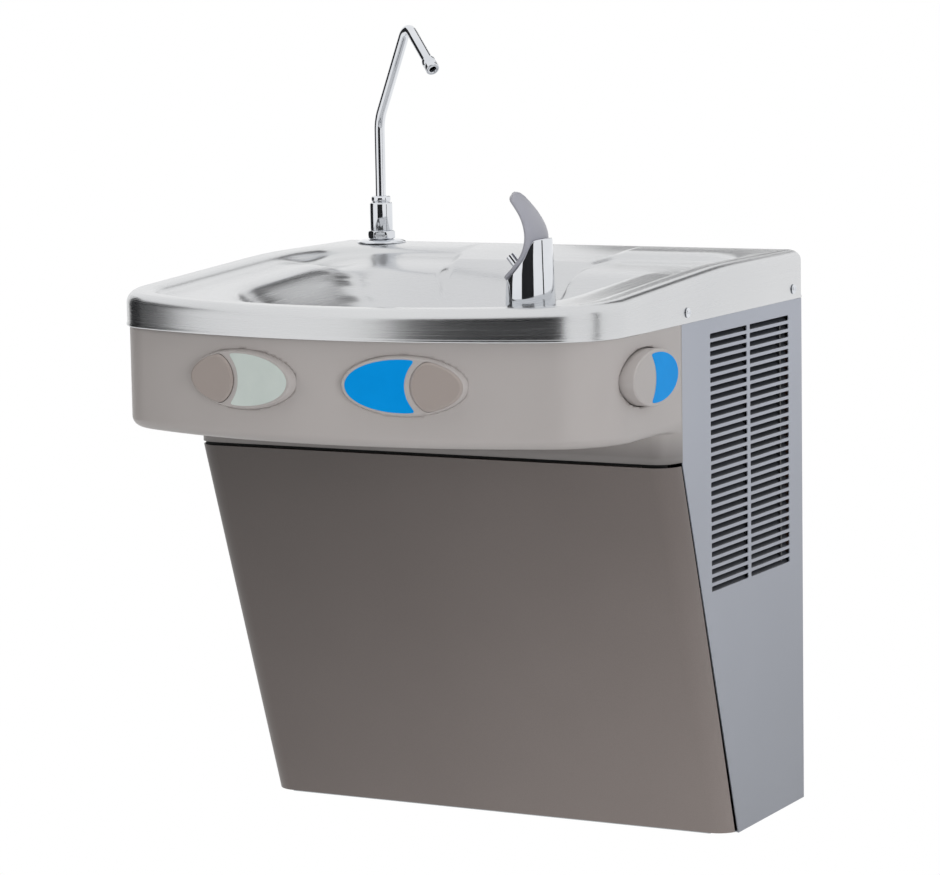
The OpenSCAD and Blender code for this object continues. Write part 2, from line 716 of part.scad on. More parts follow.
// A solid swept through a list of closed sections, with a flat fan or strip at each end
module section_sweep(sections) {
    n = len(sections);
    m = len(sections[0]);
    faces = concat(
        [for (i = [0 : n - 2]) for (j = [0 : m - 1]) let (k = (j + 1) % m)
            each [[i * m + j, (i + 1) * m + k, (i + 1) * m + j], [i * m + j, i * m + k, (i + 1) * m + k]]],
        [for (j = [0 : m / 2 - 2]) each [[j, m - 1 - j, m - 2 - j], [j, m - 2 - j, j + 1]]],
        [for (j = [0 : m / 2 - 2]) let (e = (n - 1) * m)
            each [[e + j, e + m - 2 - j, e + m - 1 - j], [e + j, e + j + 1, e + m - 2 - j]]]);
    polyhedron([for (s = sections) for (p = s) p], faces, convexity = 8);
}

// The places of the plates: local Z points out of the apron and local Y points up
module on_front(side) {
    translate([0, arc_y0, button_z]) rotate([0, 0, side * asin(button_x / apron_front_r)])
        translate([0, -apron_front_r, 0]) rotate([90, 0, 0]) children();
}
module on_side() {
    translate([panel_x, -side_button_y, button_z]) rotate([90, 0, 90]) children();
}

oval_steps = 48;
function oval(a, b) = [for (i = [0 : oval_steps - 1]) let (t = 360 * i / oval_steps)
    [a * cos(t), b * sin(t)]];
plate_in = 6.2;
hole_gap = 0.2;
side_gap = 1;
module oval_cut(l, h, gap) {
    translate([0, 0, -plate_in * 4]) linear_extrude(plate_in * 6) polygon(oval(l / 2 + gap, h / 2 + gap));
}

module apron() {
    color(taupe) difference() {
        section_sweep(apron_sections);
        on_front(-1) oval_cut(plate_l, plate_h, hole_gap);
        on_front(1) oval_cut(plate_l, plate_h, hole_gap);
        on_side() oval_cut(side_button_l, side_button_h, side_gap);
    }
}

// Buttons
// Each plate has a guide behind it; the stem of the push disc slides in it onto the switch.

guide_r = 11;
guide_l = 27;
stem_l = 22;
disc_gap = 0.5;
disc_t = 3;
disc_out = 2;
plate_round = 1.5;
flange_t2 = 2.5;
flange_out = 3;
pocket_z = plate_out + disc_out - disc_t - button_travel - air_gap;

// An upright solid over the outline pts_a with a stepped round at its front to pts_b
module rounded_plate(pts_a, pts_b, z0, z1) {
    n = len(pts_a);
    z2 = z1 - plate_round;
    mid = [for (i = [0 : n - 1]) lerp(pts_a[i], pts_b[i], 0.3)];
    pts = concat([for (p = pts_a) [p[0], p[1], z0]], [for (p = pts_a) [p[0], p[1], z2]],
        [for (p = mid) [p[0], p[1], lerp(z2, z1, 0.7)]], [for (p = pts_b) [p[0], p[1], z1]]);
    polyhedron(pts, concat([[for (i = [0 : n - 1]) i]], [[for (i = [n - 1 : -1 : 0]) n * 3 + i]],
        [for (k = [0 : 2]) for (i = [0 : n - 1]) let (j = (i + 1) % n)
            each [[k * n + i, (k + 1) * n + i, (k + 1) * n + j], [k * n + i, (k + 1) * n + j, k * n + j]]]),
        convexity = 4);
}

// The flange behind the apron's wall with the guide on it
module guide_plate(l, h, off) {
    translate([0, 0, -plate_in - flange_t2]) linear_extrude(flange_t2)
        polygon(oval(l / 2 + flange_out, h / 2 + flange_out));
    translate([off, 0, -guide_l]) cylinder(r = guide_r, h = guide_l - plate_in, $fn = 64);
}
module guide_bore(off) {
    translate([off, 0, -guide_l - over])
        cylinder(r = stem_r + run_gap, h = guide_l + plate_out + over * 2, $fn = 64);
}

module plate(l, off) {
    difference() {
        union() {
            rounded_plate(oval(l / 2, plate_h / 2), oval(l / 2 - plate_round, plate_h / 2 - plate_round),
                -plate_in, plate_out);
            guide_plate(l, plate_h, off);
        }
        translate([off, 0, pocket_z]) cylinder(r = disc_r + disc_gap, h = plate_out * 2, $fn = 96);
        guide_bore(off);
    }
}
module left_bezel() { color(taupe) on_front(-1) plate(plate_l, -disc_off); }
module centre_bezel() { color(taupe) on_front(1) plate(plate_l, disc_off); }

// The push disc: a round plate whose top and bottom follow the oval outline
function disc_outline(r, off) = [for (i = [0 : oval_steps - 1]) let (t = 360 * i / oval_steps,
        x = r * cos(t),
        y = r * sin(t),
        lim = (plate_h / 2 - disc_gap) * sqrt(1 - pow((x + off) / (plate_l / 2), 2)))
    [x, max(-lim, min(lim, y))]];
module push_disc(side) {
    translate([side * disc_off, 0]) {
        rounded_plate(disc_outline(disc_r, side * disc_off),
            disc_outline(disc_r - plate_round, side * disc_off),
            plate_out + disc_out - disc_t, plate_out + disc_out);
        translate([0, 0, -stem_l]) cylinder(r = stem_r, h = stem_l + plate_out, $fn = 64);
    }
}
module left_button() { color(taupe) on_front(-1) push_disc(-1); }
module centre_button() { color(taupe) on_front(1) push_disc(1); }

label_t = 0.4;
label_edge = 3;
module label(l, h, off, z) {
    translate([0, 0, z]) linear_extrude(label_t) difference() {
        polygon(oval(l / 2 - label_edge, h / 2 - label_edge));
        translate([off, 0]) circle(r = disc_r + label_edge, $fn = 64);
    }
}
module left_label() { color([0.86, 0.89, 0.86]) on_front(-1) label(plate_l, plate_h, -disc_off, plate_out); }
module centre_label() { color([0.10, 0.55, 0.85]) on_front(1) label(plate_l, plate_h, disc_off, plate_out); }
module side_label() {
    color([0.10, 0.62, 0.90]) on_side()
        label(side_button_l, side_button_h, -disc_off, side_button_out);
}

module side_socket() {
    color(taupe) on_side() difference() {
        guide_plate(side_button_l, side_button_h, 0);
        guide_bore(0);
    }
}
module side_button() {
    a = side_button_l / 2;
    b = side_button_h / 2;
    color(taupe) on_side() {
        rounded_plate(oval(a, b), oval(a - plate_round, b - plate_round),
            button_travel + air_gap - plate_in, side_button_out);
        translate([0, 0, -stem_l]) cylinder(r = stem_r, h = stem_l + over, $fn = 64);
    }
}

switch_w = 20;
switch_l = 28;
switch_h = 18;
plunger_r = 3;
module switch_at(off) {
    translate([off, 0, -guide_l]) {
        translate([-switch_l / 2, -switch_w / 2, -switch_h]) cube([switch_l, switch_w, switch_h]);
        cylinder(r = plunger_r, h = guide_l - stem_l - button_travel - air_gap, $fn = 24);
    }
    for (s = [-1, 1]) translate([off + s * switch_l / 4, 0, -guide_l - switch_h - plate_out])
        cube([over, plate_in, plate_out * 2], center = true);
}
module left_switch() { color(dark) on_front(-1) switch_at(-disc_off); }
module centre_switch() { color(dark) on_front(1) switch_at(disc_off); }
module side_switch() { color(dark) on_side() switch_at(0); }

// Cabinet

panel_gap = 1;
seam_gap = 3;
flange_w = 10;
panel_top = body_h + 20;
tab_y = rear_r + 2;
face_slope = atan((face_d - face_foot_d) / panel_h);

// The front sheet lies in its own frame with the slope as its length: a flat face, a quarter
// round at each side and a return that the slanted cut ends in front of the side panel.
module front_panel() {
    y_low = -foot_d - seam_gap;
    y_high = -head_d - seam_gap;
    length = panel_h * 2;
    flat = panel_x - face_r;
    color(dark_taupe) intersection() {
        union() {
            translate([0, -face_foot_d, 0]) rotate([face_slope, 0, 0]) translate([0, 0, -panel_h / 2]) {
                translate([-flat, 0, 0]) cube([flat * 2, sheet_t, length]);
                for (s = [0, 1]) mirror([s, 0, 0]) {
                    translate([flat, face_r, 0]) rotate([0, 0, -90]) rotate_extrude(angle = 90, $fn = 96)
                        translate([face_r - sheet_t, 0]) square([sheet_t, length]);
                    translate([inner_x, face_r, 0]) cube([sheet_t, face_d, length]);
                }
            }
            translate([flange_w - flat, sheet_t - face_d, panel_h - panel_gap - sheet_t])
                cube([(flat - flange_w) * 2, flange_w, sheet_t]);
        }
        translate([-body_w, 0, 0]) rotate([90, 0, 90]) linear_extrude(body_w * 2)
            polygon([[y_low, panel_gap], [y_high, panel_h - panel_gap],
                [-basin_d, panel_h - panel_gap], [-basin_d, panel_gap]]);
    }
}

module right_sheet() {
    front_y = louvre_rear_y + louvre_rear_l + louvre_bar;
    difference() {
        translate([inner_x, 0, 0]) rotate([90, 0, 90]) linear_extrude(sheet_t)
            polygon([[0, 0], [0, body_h - air_gap], [-tab_y, body_h - air_gap], [-tab_y, panel_top],
                [-head_d, panel_top], [-head_d, panel_h], [-foot_d, 0]]);
        for (i = [0 : louvre_rows - 1]) let (z = louvre_top - louvre_h - i * louvre_pitch) {
            translate([inner_x - over, -louvre_rear_y - louvre_rear_l, z])
                cube([sheet_t + over * 2, louvre_rear_l, louvre_h]);
            translate([inner_x - over, -front_y - louvre_front_l, z])
                cube([sheet_t + over * 2, louvre_front_l, louvre_h]);
        }
    }
    translate([inner_x - flange_w, -head_d, panel_h]) cube([flange_w, sheet_t, panel_top - panel_h]);
}
module right_side_panel() { color(blue_grey) right_sheet(); }
module left_side_panel() { color(blue_grey) mirror([1, 0, 0]) right_sheet(); }

screw_r = 4.3;
screw_h = 2.2;
screw_z = body_h + 9;
screw_ys = [head_d - 11, louvre_rear_y - flange_w];
module skirt_screws() {
    color(chrome) for (s = [-1, 1]) for (y = screw_ys)
        translate([s * half_w, -y, screw_z]) rotate([0, s * 90, 0]) rotate_extrude($fn = 32)
            polygon([[0, 0], [screw_r, 0], [screw_r * 0.8, screw_h * 0.7], [0, screw_h]]);
}

// The pan's front lip leans with the front panel and lies against its inner face
pan_lip = 12;
module base_pan() {
    lip_y = -face_foot_d + sheet_t / cos(face_slope);
    lean = pan_lip * tan(face_slope);
    color(zinc) {
        translate([-inner_x, -foot_d + panel_gap, 0])
            cube([inner_x * 2, foot_d - panel_gap - sheet_t, sheet_t]);
        translate([-panel_x + face_r + panel_gap, 0, 0]) rotate([90, 0, 90])
            linear_extrude((panel_x - face_r - panel_gap) * 2)
            polygon([[-foot_d, 0], [lip_y, 0], [lip_y - lean, pan_lip], [lip_y - lean + sheet_t, pan_lip],
                [lip_y + sheet_t, sheet_t], [over - foot_d, sheet_t], [over - foot_d, 0]]);
    }
}

spacer_h = 30;
frame_top = body_h - 3;
frame_flange = 4;
hook_drop = 10;
hook_t = 2;
lip_out = 8;
bracket_top = bracket_z + bracket_h;
hook_z = bracket_top + hook_drop;
waste_hole_r = waste_r + 3;
inlet_x = 200;
inlet_z = 80;
inlet_r = 10.48;
gland_x = 150;
gland_z = 62;
gland_r = 9;
module hole_y(x, z, r, deep) {
    translate([x, over, z]) rotate([90, 0, 0]) cylinder(r = r, h = deep, $fn = 64);
}

// The back sheet lies on the wall at its foot, stands clear of it above and hangs by its hook
module back_frame() {
    y1 = -wall_gap;
    y2 = y1 - sheet_t;
    color(zinc) difference() {
        union() {
            translate([-inner_x, 0, 0]) rotate([90, 0, 90]) linear_extrude(inner_x * 2)
                polygon([[0, 0], [0, spacer_h], [y1, spacer_h], [y1, frame_top],
                    [y2 - frame_flange, frame_top], [y2 - frame_flange, frame_top - sheet_t],
                    [y2, frame_top - sheet_t], [y2, spacer_h - sheet_t], [-sheet_t, spacer_h - sheet_t],
                    [-sheet_t, 0]]);
            translate([-bracket_w / 2, 0, 0]) rotate([90, 0, 90]) linear_extrude(bracket_w)
                polygon([[y1, hook_z + hook_t], [y1, hook_z], [-lip_out + hook_t + air_gap, hook_z],
                    [-lip_out + hook_t + air_gap, bracket_top + air_gap],
                    [-lip_out + hook_t * 2 + air_gap, bracket_top + air_gap],
                    [-lip_out + hook_t * 2 + air_gap, hook_z + hook_t]]);
        }
        hole_y(0, waste_z, waste_hole_r, wall_gap * 2);
        hole_y(inlet_x, inlet_z, inlet_r + air_gap, wall_gap * 2);
        hole_y(gland_x, gland_z, gland_r + air_gap, wall_gap * 2);
    }
}

module wall_bracket() {
    color(zinc) difference() {
        translate([-bracket_w / 2, 0, 0]) rotate([90, 0, 90]) linear_extrude(bracket_w)
            polygon([[0, bracket_z], [0, bracket_top], [-lip_out + hook_t, bracket_top],
                [-lip_out + hook_t, hook_z], [-lip_out, hook_z],
                [-lip_out, bracket_top - bracket_t], [-bracket_t, bracket_top - bracket_t],
                [-bracket_t, bracket_z]]);
        for (x = [-1, 1]) for (z = [-1, 1])
            hole_y(x * fix_w / 2, bracket_z + bracket_h / 2 + z * fix_h / 2, fix_r, wall_gap);
        translate([-waste_hole_r, -wall_gap, bracket_z - over])
            cube([waste_hole_r * 2, wall_gap + over, waste_z + waste_hole_r - bracket_z + over]);
    }
}

// Cooling set

foot_r = 10;
foot_h = 15;
foot_plate_t = 2.5;
foot_x = 58;
foot_y = 44;
comp_z = sheet_t + foot_h;
comp_foot_z = comp_z + foot_plate_t;
weld_w = 3;
weld_h = 5;
stub_r = 3;
dome_steps = 8;
function dome_pts(z0, z1) = [for (i = [0 : dome_steps]) let (a = 90 * i / dome_steps)
    [comp_r * cos(a), z0 + (z1 - z0) * sin(a)]];
comp_dome = 34;
module at_comp() { translate([comp_x, -comp_y, 0]) children(); }

module compressor() {
    low = comp_foot_z + comp_dome;
    high = comp_foot_z + comp_h - comp_dome;
    weld = (low + high) / 2;
    color(dark) at_comp() {
        rotate_extrude($fn = 96) polygon(concat(
            [for (i = [dome_steps : -1 : 0]) dome_pts(low, comp_foot_z)[i]],
            [[comp_r, weld - weld_h / 2], [comp_r + weld_w, weld - weld_h / 2],
                [comp_r + weld_w, weld + weld_h / 2], [comp_r, weld + weld_h / 2]],
            dome_pts(high, comp_foot_z + comp_h)));
        difference() {
            translate([-foot_x - foot_r, -foot_y - foot_r, comp_z])
                cube([(foot_x + foot_r) * 2, (foot_y + foot_r) * 2, foot_plate_t]);
            for (x = [-1, 1]) for (y = [-1, 1])
                translate([x * foot_x, y * foot_y, comp_z - over])
                    cylinder(r = stub_r + air_gap, h = foot_plate_t + over * 2, $fn = 32);
        }
        translate([0, 0, comp_z]) cylinder(r = comp_r / 2, h = comp_dome / 2, $fn = 64);
    }
    color(copper) for (x = [suction_x, discharge_x]) translate([x, -pipe_y, comp_z + comp_h / 2])
        cylinder(r = suction_r + over, h = stub_z - comp_z - comp_h / 2, $fn = 32);
}

module compressor_feet() {
    color([0.1, 0.1, 0.1]) at_comp() for (x = [-1, 1]) for (y = [-1, 1])
        translate([x * foot_x, y * foot_y, sheet_t]) {
            cylinder(r = foot_r - over, h = foot_h, $fn = 48);
            cylinder(r = stub_r, h = foot_h + foot_plate_t + stub_r, $fn = 32);
        }
}

cover_w = 44;
cover_h = 40;
cover_d = 22;
module terminal_cover() {
    color(dark) at_comp() difference() {
        translate([-cover_w / 2, -comp_r - cover_d / 2, comp_z + comp_h / 4])
            cube([cover_w, cover_d, cover_h]);
        cylinder(r = comp_r + weld_w + air_gap, h = comp_h * 2, $fn = 96);
    }
}

fin_x = 195;
fin_w = 34;
fin_t = 0.8;
fin_gap = 6;
cond_front = 200;
cond_back = 46;
cond_h = 212;
end_t = 2;
shroud_x = 172;
cond_tube_r = 4;
cond_rows = 6;
cond_low = fan_z - cond_h / 2;
cond_step = (cond_h - fin_gap * 6) / (cond_rows - 1);
cond_row_low = cond_low + fin_gap * 3;
fin_count = floor((cond_front - cond_back - end_t * 2) / fin_gap);

module return_bend(y, z, s) {
    translate([fin_x, y, z + cond_step / 2]) rotate([90, 0, 90]) rotate([0, 0, s > 0 ? -90 : 90])
        rotate_extrude(angle = 180, $fn = 48) translate([cond_step / 2, 0]) circle(r = cond_tube_r, $fn = 24);
}
module condenser() {
    color([0.25, 0.25, 0.26]) {
        for (y = [-cond_front, -cond_back - end_t]) translate([shroud_x, y, cond_low])
            cube([inner_x - shroud_x, end_t, cond_h]);
        for (i = [1 : fin_count]) translate([fin_x - fin_w / 2, -cond_back - end_t - i * fin_gap, cond_low])
            cube([fin_w, fin_t, cond_h]);
        for (i = [0 : cond_rows - 1]) translate([fin_x, -cond_front, cond_row_low + i * cond_step])
            rotate([-90, 0, 0]) cylinder(r = cond_tube_r, h = cond_front - cond_back, $fn = 24);
        for (i = [0 : 2 : cond_rows - 2]) return_bend(-cond_front, cond_row_low + i * cond_step, -1);
        for (i = [1 : 2 : cond_rows - 2]) return_bend(-cond_back, cond_row_low + i * cond_step, 1);
        for (i = [0, cond_rows - 1]) translate([fin_x, -cond_back, cond_row_low + i * cond_step])
            rotate([-90, 0, 0]) cylinder(r = cond_tube_r, h = fin_gap, $fn = 24);
    }
}

collar_l = 20;
ring_t = 2;
motor_r = 30;
motor_l = 40;
motor_x = 94;
arm_w = 12;
module fan_shroud() {
    color([0.2, 0.2, 0.21]) difference() {
        union() {
            translate([shroud_x - end_t, -cond_front, cond_low])
                cube([end_t, cond_front - cond_back, cond_h]);
            translate([shroud_x - collar_l, -fan_y, fan_z]) rotate([0, 90, 0])
                cylinder(r = fan_r + ring_t * 2, h = collar_l, $fn = 96);
            for (a = [0, 120, 240]) translate([0, -fan_y, fan_z]) rotate([a, 0, 0])
                translate([shroud_x - collar_l - arm_w, -arm_w / 2, 0])
                cube([arm_w + ring_t * 2, arm_w, fan_r + ring_t * 2]);
        }
        translate([shroud_x - collar_l, -fan_y, fan_z]) rotate([0, 90, 0])
            cylinder(r = fan_r + ring_t, h = collar_l + over, $fn = 96);
        translate([shroud_x - collar_l * 2, -fan_y, fan_z]) rotate([0, 90, 0])
            cylinder(r = motor_r / 2, h = collar_l * 2, $fn = 64);
    }
}

shaft_r = 2.5;
module fan_motor() {
    color(zinc) translate([motor_x, -fan_y, fan_z]) rotate([0, 90, 0]) difference() {
        union() {
            cylinder(r = motor_r * 0.7, h = motor_l + 6, $fn = 64);
            translate([0, 0, motor_l * 0.15]) cylinder(r = motor_r, h = motor_l * 0.7, $fn = 64);
            cylinder(r = motor_r / 2 - air_gap, h = shroud_x - collar_l - motor_x - air_gap, $fn = 64);
        }
        translate([0, 0, motor_l / 2]) cylinder(r = shaft_r + run_gap, h = motor_l * 2, $fn = 48);
    }
}

hub_r = 16;
hub_l = 14;
hub_x = shroud_x - collar_l + ring_t;
blade_t = 1.6;
blade_w = 30;
module fan_blade() {
    color([0.75, 0.76, 0.78]) translate([hub_x, -fan_y, fan_z]) rotate([0, 90, 0]) {
        cylinder(r = hub_r, h = hub_l, $fn = 64);
        translate([0, 0, motor_x + motor_l / 2 - hub_x + over])
            cylinder(r = shaft_r, h = hub_x - motor_x - motor_l / 2, $fn = 48);
        intersection() {
            for (i = [0 : fan_blades - 1]) rotate([0, 0, 360 * i / fan_blades])
                translate([0, 0, hub_l / 2]) rotate([fan_pitch, 0, 0])
                translate([hub_r / 2, -blade_w / 2, -blade_t / 2]) cube([fan_r, blade_w, blade_t]);
            cylinder(r = fan_r, h = hub_l, $fn = 96);
        }
    }
}

drier_x = 112;
drier_y = 28;
drier_z = 90;
drier_r = 9;
drier_l = 70;
pipe_y = 40;
suction_x = -5;
discharge_x = 55;
suction_r = 4;
discharge_r = 3;
capillary_r = 1.5;
stub_z = comp_foot_z + comp_h + suction_r;
drier_end = stub_r * 2;
cond_port_y = cond_back - fin_gap;
cond_row_high = cond_low + cond_h - fin_gap * 3;
pipe_bend = 8;
module filter_drier() {
    color(copper) {
        translate([drier_x, -drier_y, drier_z]) rotate_extrude($fn = 48)
            polygon([[0, -drier_end], [stub_r, -drier_end], [stub_r, 0], [drier_r, drier_r],
                [drier_r, drier_l - drier_r], [stub_r, drier_l], [0, drier_l]]);
        tube_run([[fin_x, -cond_port_y, cond_row_low], [fin_x, -drier_y, cond_row_low],
            [drier_x, -drier_y, cond_row_low], [drier_x, -drier_y, drier_z + drier_l - over]],
            discharge_r, pipe_bend);
    }
}

riser_x = 214;
riser_y = 28;
riser_rise = 16;
riser_bend = 9;
discharge_z = 200;
module discharge_line() {
    color(copper) tube_run([[discharge_x, -pipe_y, stub_z], [discharge_x, -pipe_y, discharge_z],
        [riser_x, -pipe_y, discharge_z], [riser_x, -riser_y, discharge_z + riser_rise],
        [riser_x, -riser_y, cond_row_high], [fin_x, -riser_y, cond_row_high],
        [fin_x, -cond_port_y, cond_row_high]], discharge_r, riser_bend);
}

// The evaporator's helix begins and ends in the plane through the tank's axis
tank_z = 46;
tank_t = 1.5;
tank_dome = 12;
coil_r = tank_r + coil_tube_r + over;
coil_low = tank_z + tank_dome + coil_tube_r / 2;
coil_high = tank_z + tank_h - tank_dome - coil_tube_r * 3.5;
coil_x = coil_r - tank_x;
coil_steps = 20;
coil_sides = 8;
port_r = 5;
port_bore_r = 3;
port_z = 266;
port_in = -20;
port_out = 10;
bulb_x = 30;
bulb_r = 3;

module evaporator_coil() {
    n = coil_turns * coil_steps;
    pts = [for (i = [0 : n]) for (k = [0 : coil_sides - 1])
        let (a = 360 * i / coil_steps, b = 360 * k / coil_sides, r = coil_r + coil_tube_r * cos(b))
        [r * cos(a), r * sin(a), lerp(coil_low, coil_high, i / n) + coil_tube_r * sin(b)]];
    color(copper) translate([-tank_x, -tank_y]) polyhedron(pts, concat(
        [[for (k = [0 : coil_sides - 1]) k]], [[for (k = [coil_sides - 1 : -1 : 0]) n * coil_sides + k]],
        [for (i = [0 : n - 1]) for (k = [0 : coil_sides - 1])
            let (j = (k + 1) % coil_sides, a = i * coil_sides)
            each [[a + k, a + coil_sides + k, a + coil_sides + j], [a + k, a + coil_sides + j, a + j]]]),
        convexity = 12);
}

cap_y = 160;
cap_bend = 10;
module capillary_line() {
    color(copper) tube_run([[coil_x, -tank_y, coil_low], [coil_x, -cap_y, coil_low],
        [drier_x, -cap_y, coil_low], [drier_x, -drier_y, coil_low],
        [drier_x, -drier_y, drier_z - drier_end]], capillary_r, cap_bend);
}

suction_bend = 12;
module suction_path(r) {
    tube_run([[coil_x, -tank_y, coil_high], [coil_x, -pipe_y, coil_high],
        [suction_x, -pipe_y, coil_high], [suction_x, -pipe_y, stub_z]], r, suction_bend);
}
module suction_line() { color(copper) suction_path(suction_r); }

function vessel(r, dome) = concat(
    [for (i = [0 : dome_steps]) let (a = 90 * i / dome_steps)
        [r * sin(a), tank_z + tank_dome - dome * cos(a)]],
    [for (i = [0 : dome_steps]) let (a = 90 * i / dome_steps)
        [r * cos(a), tank_z + tank_h - tank_dome + dome * sin(a)]]);
module cooling_tank() {
    inner = vessel(tank_r - tank_t, tank_dome - tank_t);
    color(steel) translate([-tank_x, -tank_y]) difference() {
        union() {
            rotate_extrude($fn = 96) polygon(concat(vessel(tank_r, tank_dome),
                [for (i = [len(inner) - 1 : -1 : 0]) inner[i]]));
            for (x = [port_in, port_out]) translate([x, 0, tank_z + tank_h - tank_dome])
                cylinder(r = port_r, h = port_z - tank_z - tank_h + tank_dome, $fn = 32);
        }
        for (x = [port_in, port_out]) translate([x, 0, tank_z + tank_h - tank_dome - over])
            cylinder(r = port_bore_r, h = tank_dome * 6, $fn = 32);
    }
}

foam_in_r = coil_r + coil_tube_r + over;
foam_top = 260;
foam_foot_r = 60;
foam_foot_z = 22;
module tank_insulation() {
    color([0.92, 0.90, 0.80]) translate([-tank_x, -tank_y]) difference() {
        rotate_extrude($fn = 96) polygon([[0, sheet_t], [foam_foot_r, sheet_t], [foam_r, foam_foot_z],
            [foam_r, foam_top], [0, foam_top]]);
        translate([0, 0, tank_z]) cylinder(r = foam_in_r, h = tank_h + tank_dome, $fn = 96);
        for (x = [port_in, port_out]) translate([x, 0, tank_z])
            cylinder(r = port_r + air_gap, h = foam_top, $fn = 32);
        translate([bulb_x, 0, tank_z]) cylinder(r = bulb_r + air_gap, h = foam_top, $fn = 32);
        translate([tank_x, tank_y]) suction_path(suction_r + over);
        translate([coil_r, 0, coil_low]) rotate([90, 0, 0])
            cylinder(r = capillary_r + over, h = foam_r, $fn = 32);
    }
}

// Valves, thermostat and water path

rail_t = 1.5;
rail_y = wall_gap + sheet_t + rail_t;
rail_low = 298;
rail_high = 352;
valve_x = [-178, -140, -102];
valve_w = 26;
valve_d = 19;
valve_low = 303;
valve_h = 42;
valve_y = rail_y + valve_d / 2;
valve_stub_r = 5;
valve_stub_h = 6;
solenoid_r = 14;
solenoid_l = 28;
solenoid_z = valve_low + solenoid_r;
reg_z = valve_low + valve_h - 6;
reg_r = 3;
reg_head_r = 5;
reg_head_h = 4;
reg_l = 9;
thermo_x = -58;
thermo_z = 332;
thermo_w = 40;
thermo_d = 22;
knob_r = 14;
knob_h = 14;
knob_shaft_r = 3;
knob_shaft_l = 10;

module valve_bracket() {
    color(zinc) translate([valve_x[0] - valve_w / 2 - rail_t, -rail_y, rail_low])
        cube([thermo_x + thermo_w / 2 - valve_x[0] + valve_w / 2 + rail_t * 2, rail_t, rail_high - rail_low]);
}
module valve(x, bore) {
    bottom = [x, -valve_y, valve_low - valve_stub_h];
    difference() {
        union() {
            translate([x - valve_w / 2, -rail_y - valve_d, valve_low]) cube([valve_w, valve_d, valve_h]);
            translate(bottom) cylinder(r = valve_stub_r, h = valve_h + valve_stub_h * 2, $fn = 32);
            translate([x, -rail_y - valve_d + over, solenoid_z]) rotate([90, 0, 0])
                cylinder(r = solenoid_r, h = solenoid_l + over, $fn = 64);
        }
        if (bore) translate([x, -rail_y - valve_d - over, reg_z]) rotate([-90, 0, 0])
            cylinder(r = reg_r + run_gap, h = reg_l + air_gap + over, $fn = 48);
    }
}
module natural_valve() { color([0.9, 0.9, 0.88]) valve(valve_x[0], false); }
module cold_valve() { color([0.55, 0.65, 0.85]) valve(valve_x[1], false); }
module bubbler_valve() { color([0.9, 0.9, 0.88]) valve(valve_x[2], true); }

module jet_regulator() {
    color([0.80, 0.65, 0.35]) translate([valve_x[2], -rail_y - valve_d + reg_l, reg_z]) rotate([90, 0, 0])
        difference() {
            union() {
                cylinder(r = reg_r, h = reg_l + air_gap + over, $fn = 48);
                translate([0, 0, reg_l + air_gap]) cylinder(r = reg_head_r, h = reg_head_h, $fn = 48);
            }
            translate([-reg_head_r, -over / 2, reg_l + air_gap + reg_head_h / 2])
                cube([reg_head_r * 2, over, reg_head_h]);
        }
}

module thermostat() {
    bulb_top = [bulb_x - tank_x, -tank_y, foam_top];
    color([0.85, 0.85, 0.83]) difference() {
        translate([thermo_x - thermo_w / 2, -rail_y - thermo_d, thermo_z - thermo_w / 2])
            cube([thermo_w, thermo_d, thermo_w]);
        translate([thermo_x, -rail_y - thermo_d - over, thermo_z]) rotate([-90, 0, 0])
            cylinder(r = knob_shaft_r + run_gap, h = knob_shaft_l + air_gap + over, $fn = 48);
    }
    color(copper) {
        tube_run([[thermo_x, -rail_y - thermo_d * 0.75, thermo_z - thermo_w / 2 + over],
            [thermo_x, -rail_y - thermo_d * 0.75, valve_low - knob_h],
            [thermo_x, -tank_y, valve_low - knob_h], [bulb_x - tank_x, -tank_y, valve_low - knob_h],
            bulb_top], over, pipe_bend);
        translate([bulb_x - tank_x, -tank_y, tank_z + tank_h + tank_dome])
            cylinder(r = bulb_r, h = foam_top - tank_z - tank_h - tank_dome + over, $fn = 32);
    }
}
module thermostat_knob() {
    color(dark) translate([thermo_x, -rail_y - thermo_d, thermo_z]) rotate([90, 0, 0]) difference() {
        union() {
            translate([0, 0, -knob_shaft_l])
                cylinder(r = knob_shaft_r, h = knob_shaft_l + over * 2, $fn = 48);
            translate([0, 0, over]) cylinder(r = knob_r, h = knob_h, $fn = 64);
        }
        for (i = [0 : 11]) rotate(30 * i) translate([knob_r + over / 2, 0, over * 3])
            cylinder(r = over * 1.5, h = knob_h, $fn = 24);
        translate([-over / 2, 0, knob_h + over / 2]) cube([over, knob_r * 2, over]);
    }
}

filter_x = 160;
filter_y = 80;
filter_r = 27;
filter_z = 30;
filter_h = 155;
filter_head_r = 24;
filter_head_h = 30;
filter_port_l = 6;
filter_port_z = filter_z + filter_h + filter_head_h / 2;
lug_w = 24;
lug_z = 120;
module water_filter() {
    color([0.90, 0.91, 0.92]) {
        translate([filter_x, -filter_y, filter_z]) rotate_extrude($fn = 96) polygon([[0, 0],
            [filter_r - filter_port_l / 2, 0], [filter_r, filter_port_l / 2], [filter_r, filter_h],
            [filter_head_r, filter_h], [filter_head_r, filter_h + filter_head_h],
            [0, filter_h + filter_head_h]]);
        translate([filter_x - filter_head_r - filter_port_l, -filter_y, filter_port_z]) rotate([0, 90, 0])
            cylinder(r = valve_stub_r, h = (filter_head_r + filter_port_l) * 2, $fn = 32);
        translate([filter_x - lug_w / 2, -filter_y, lug_z])
            cube([lug_w, filter_y - wall_gap - sheet_t, lug_w]);
    }
}

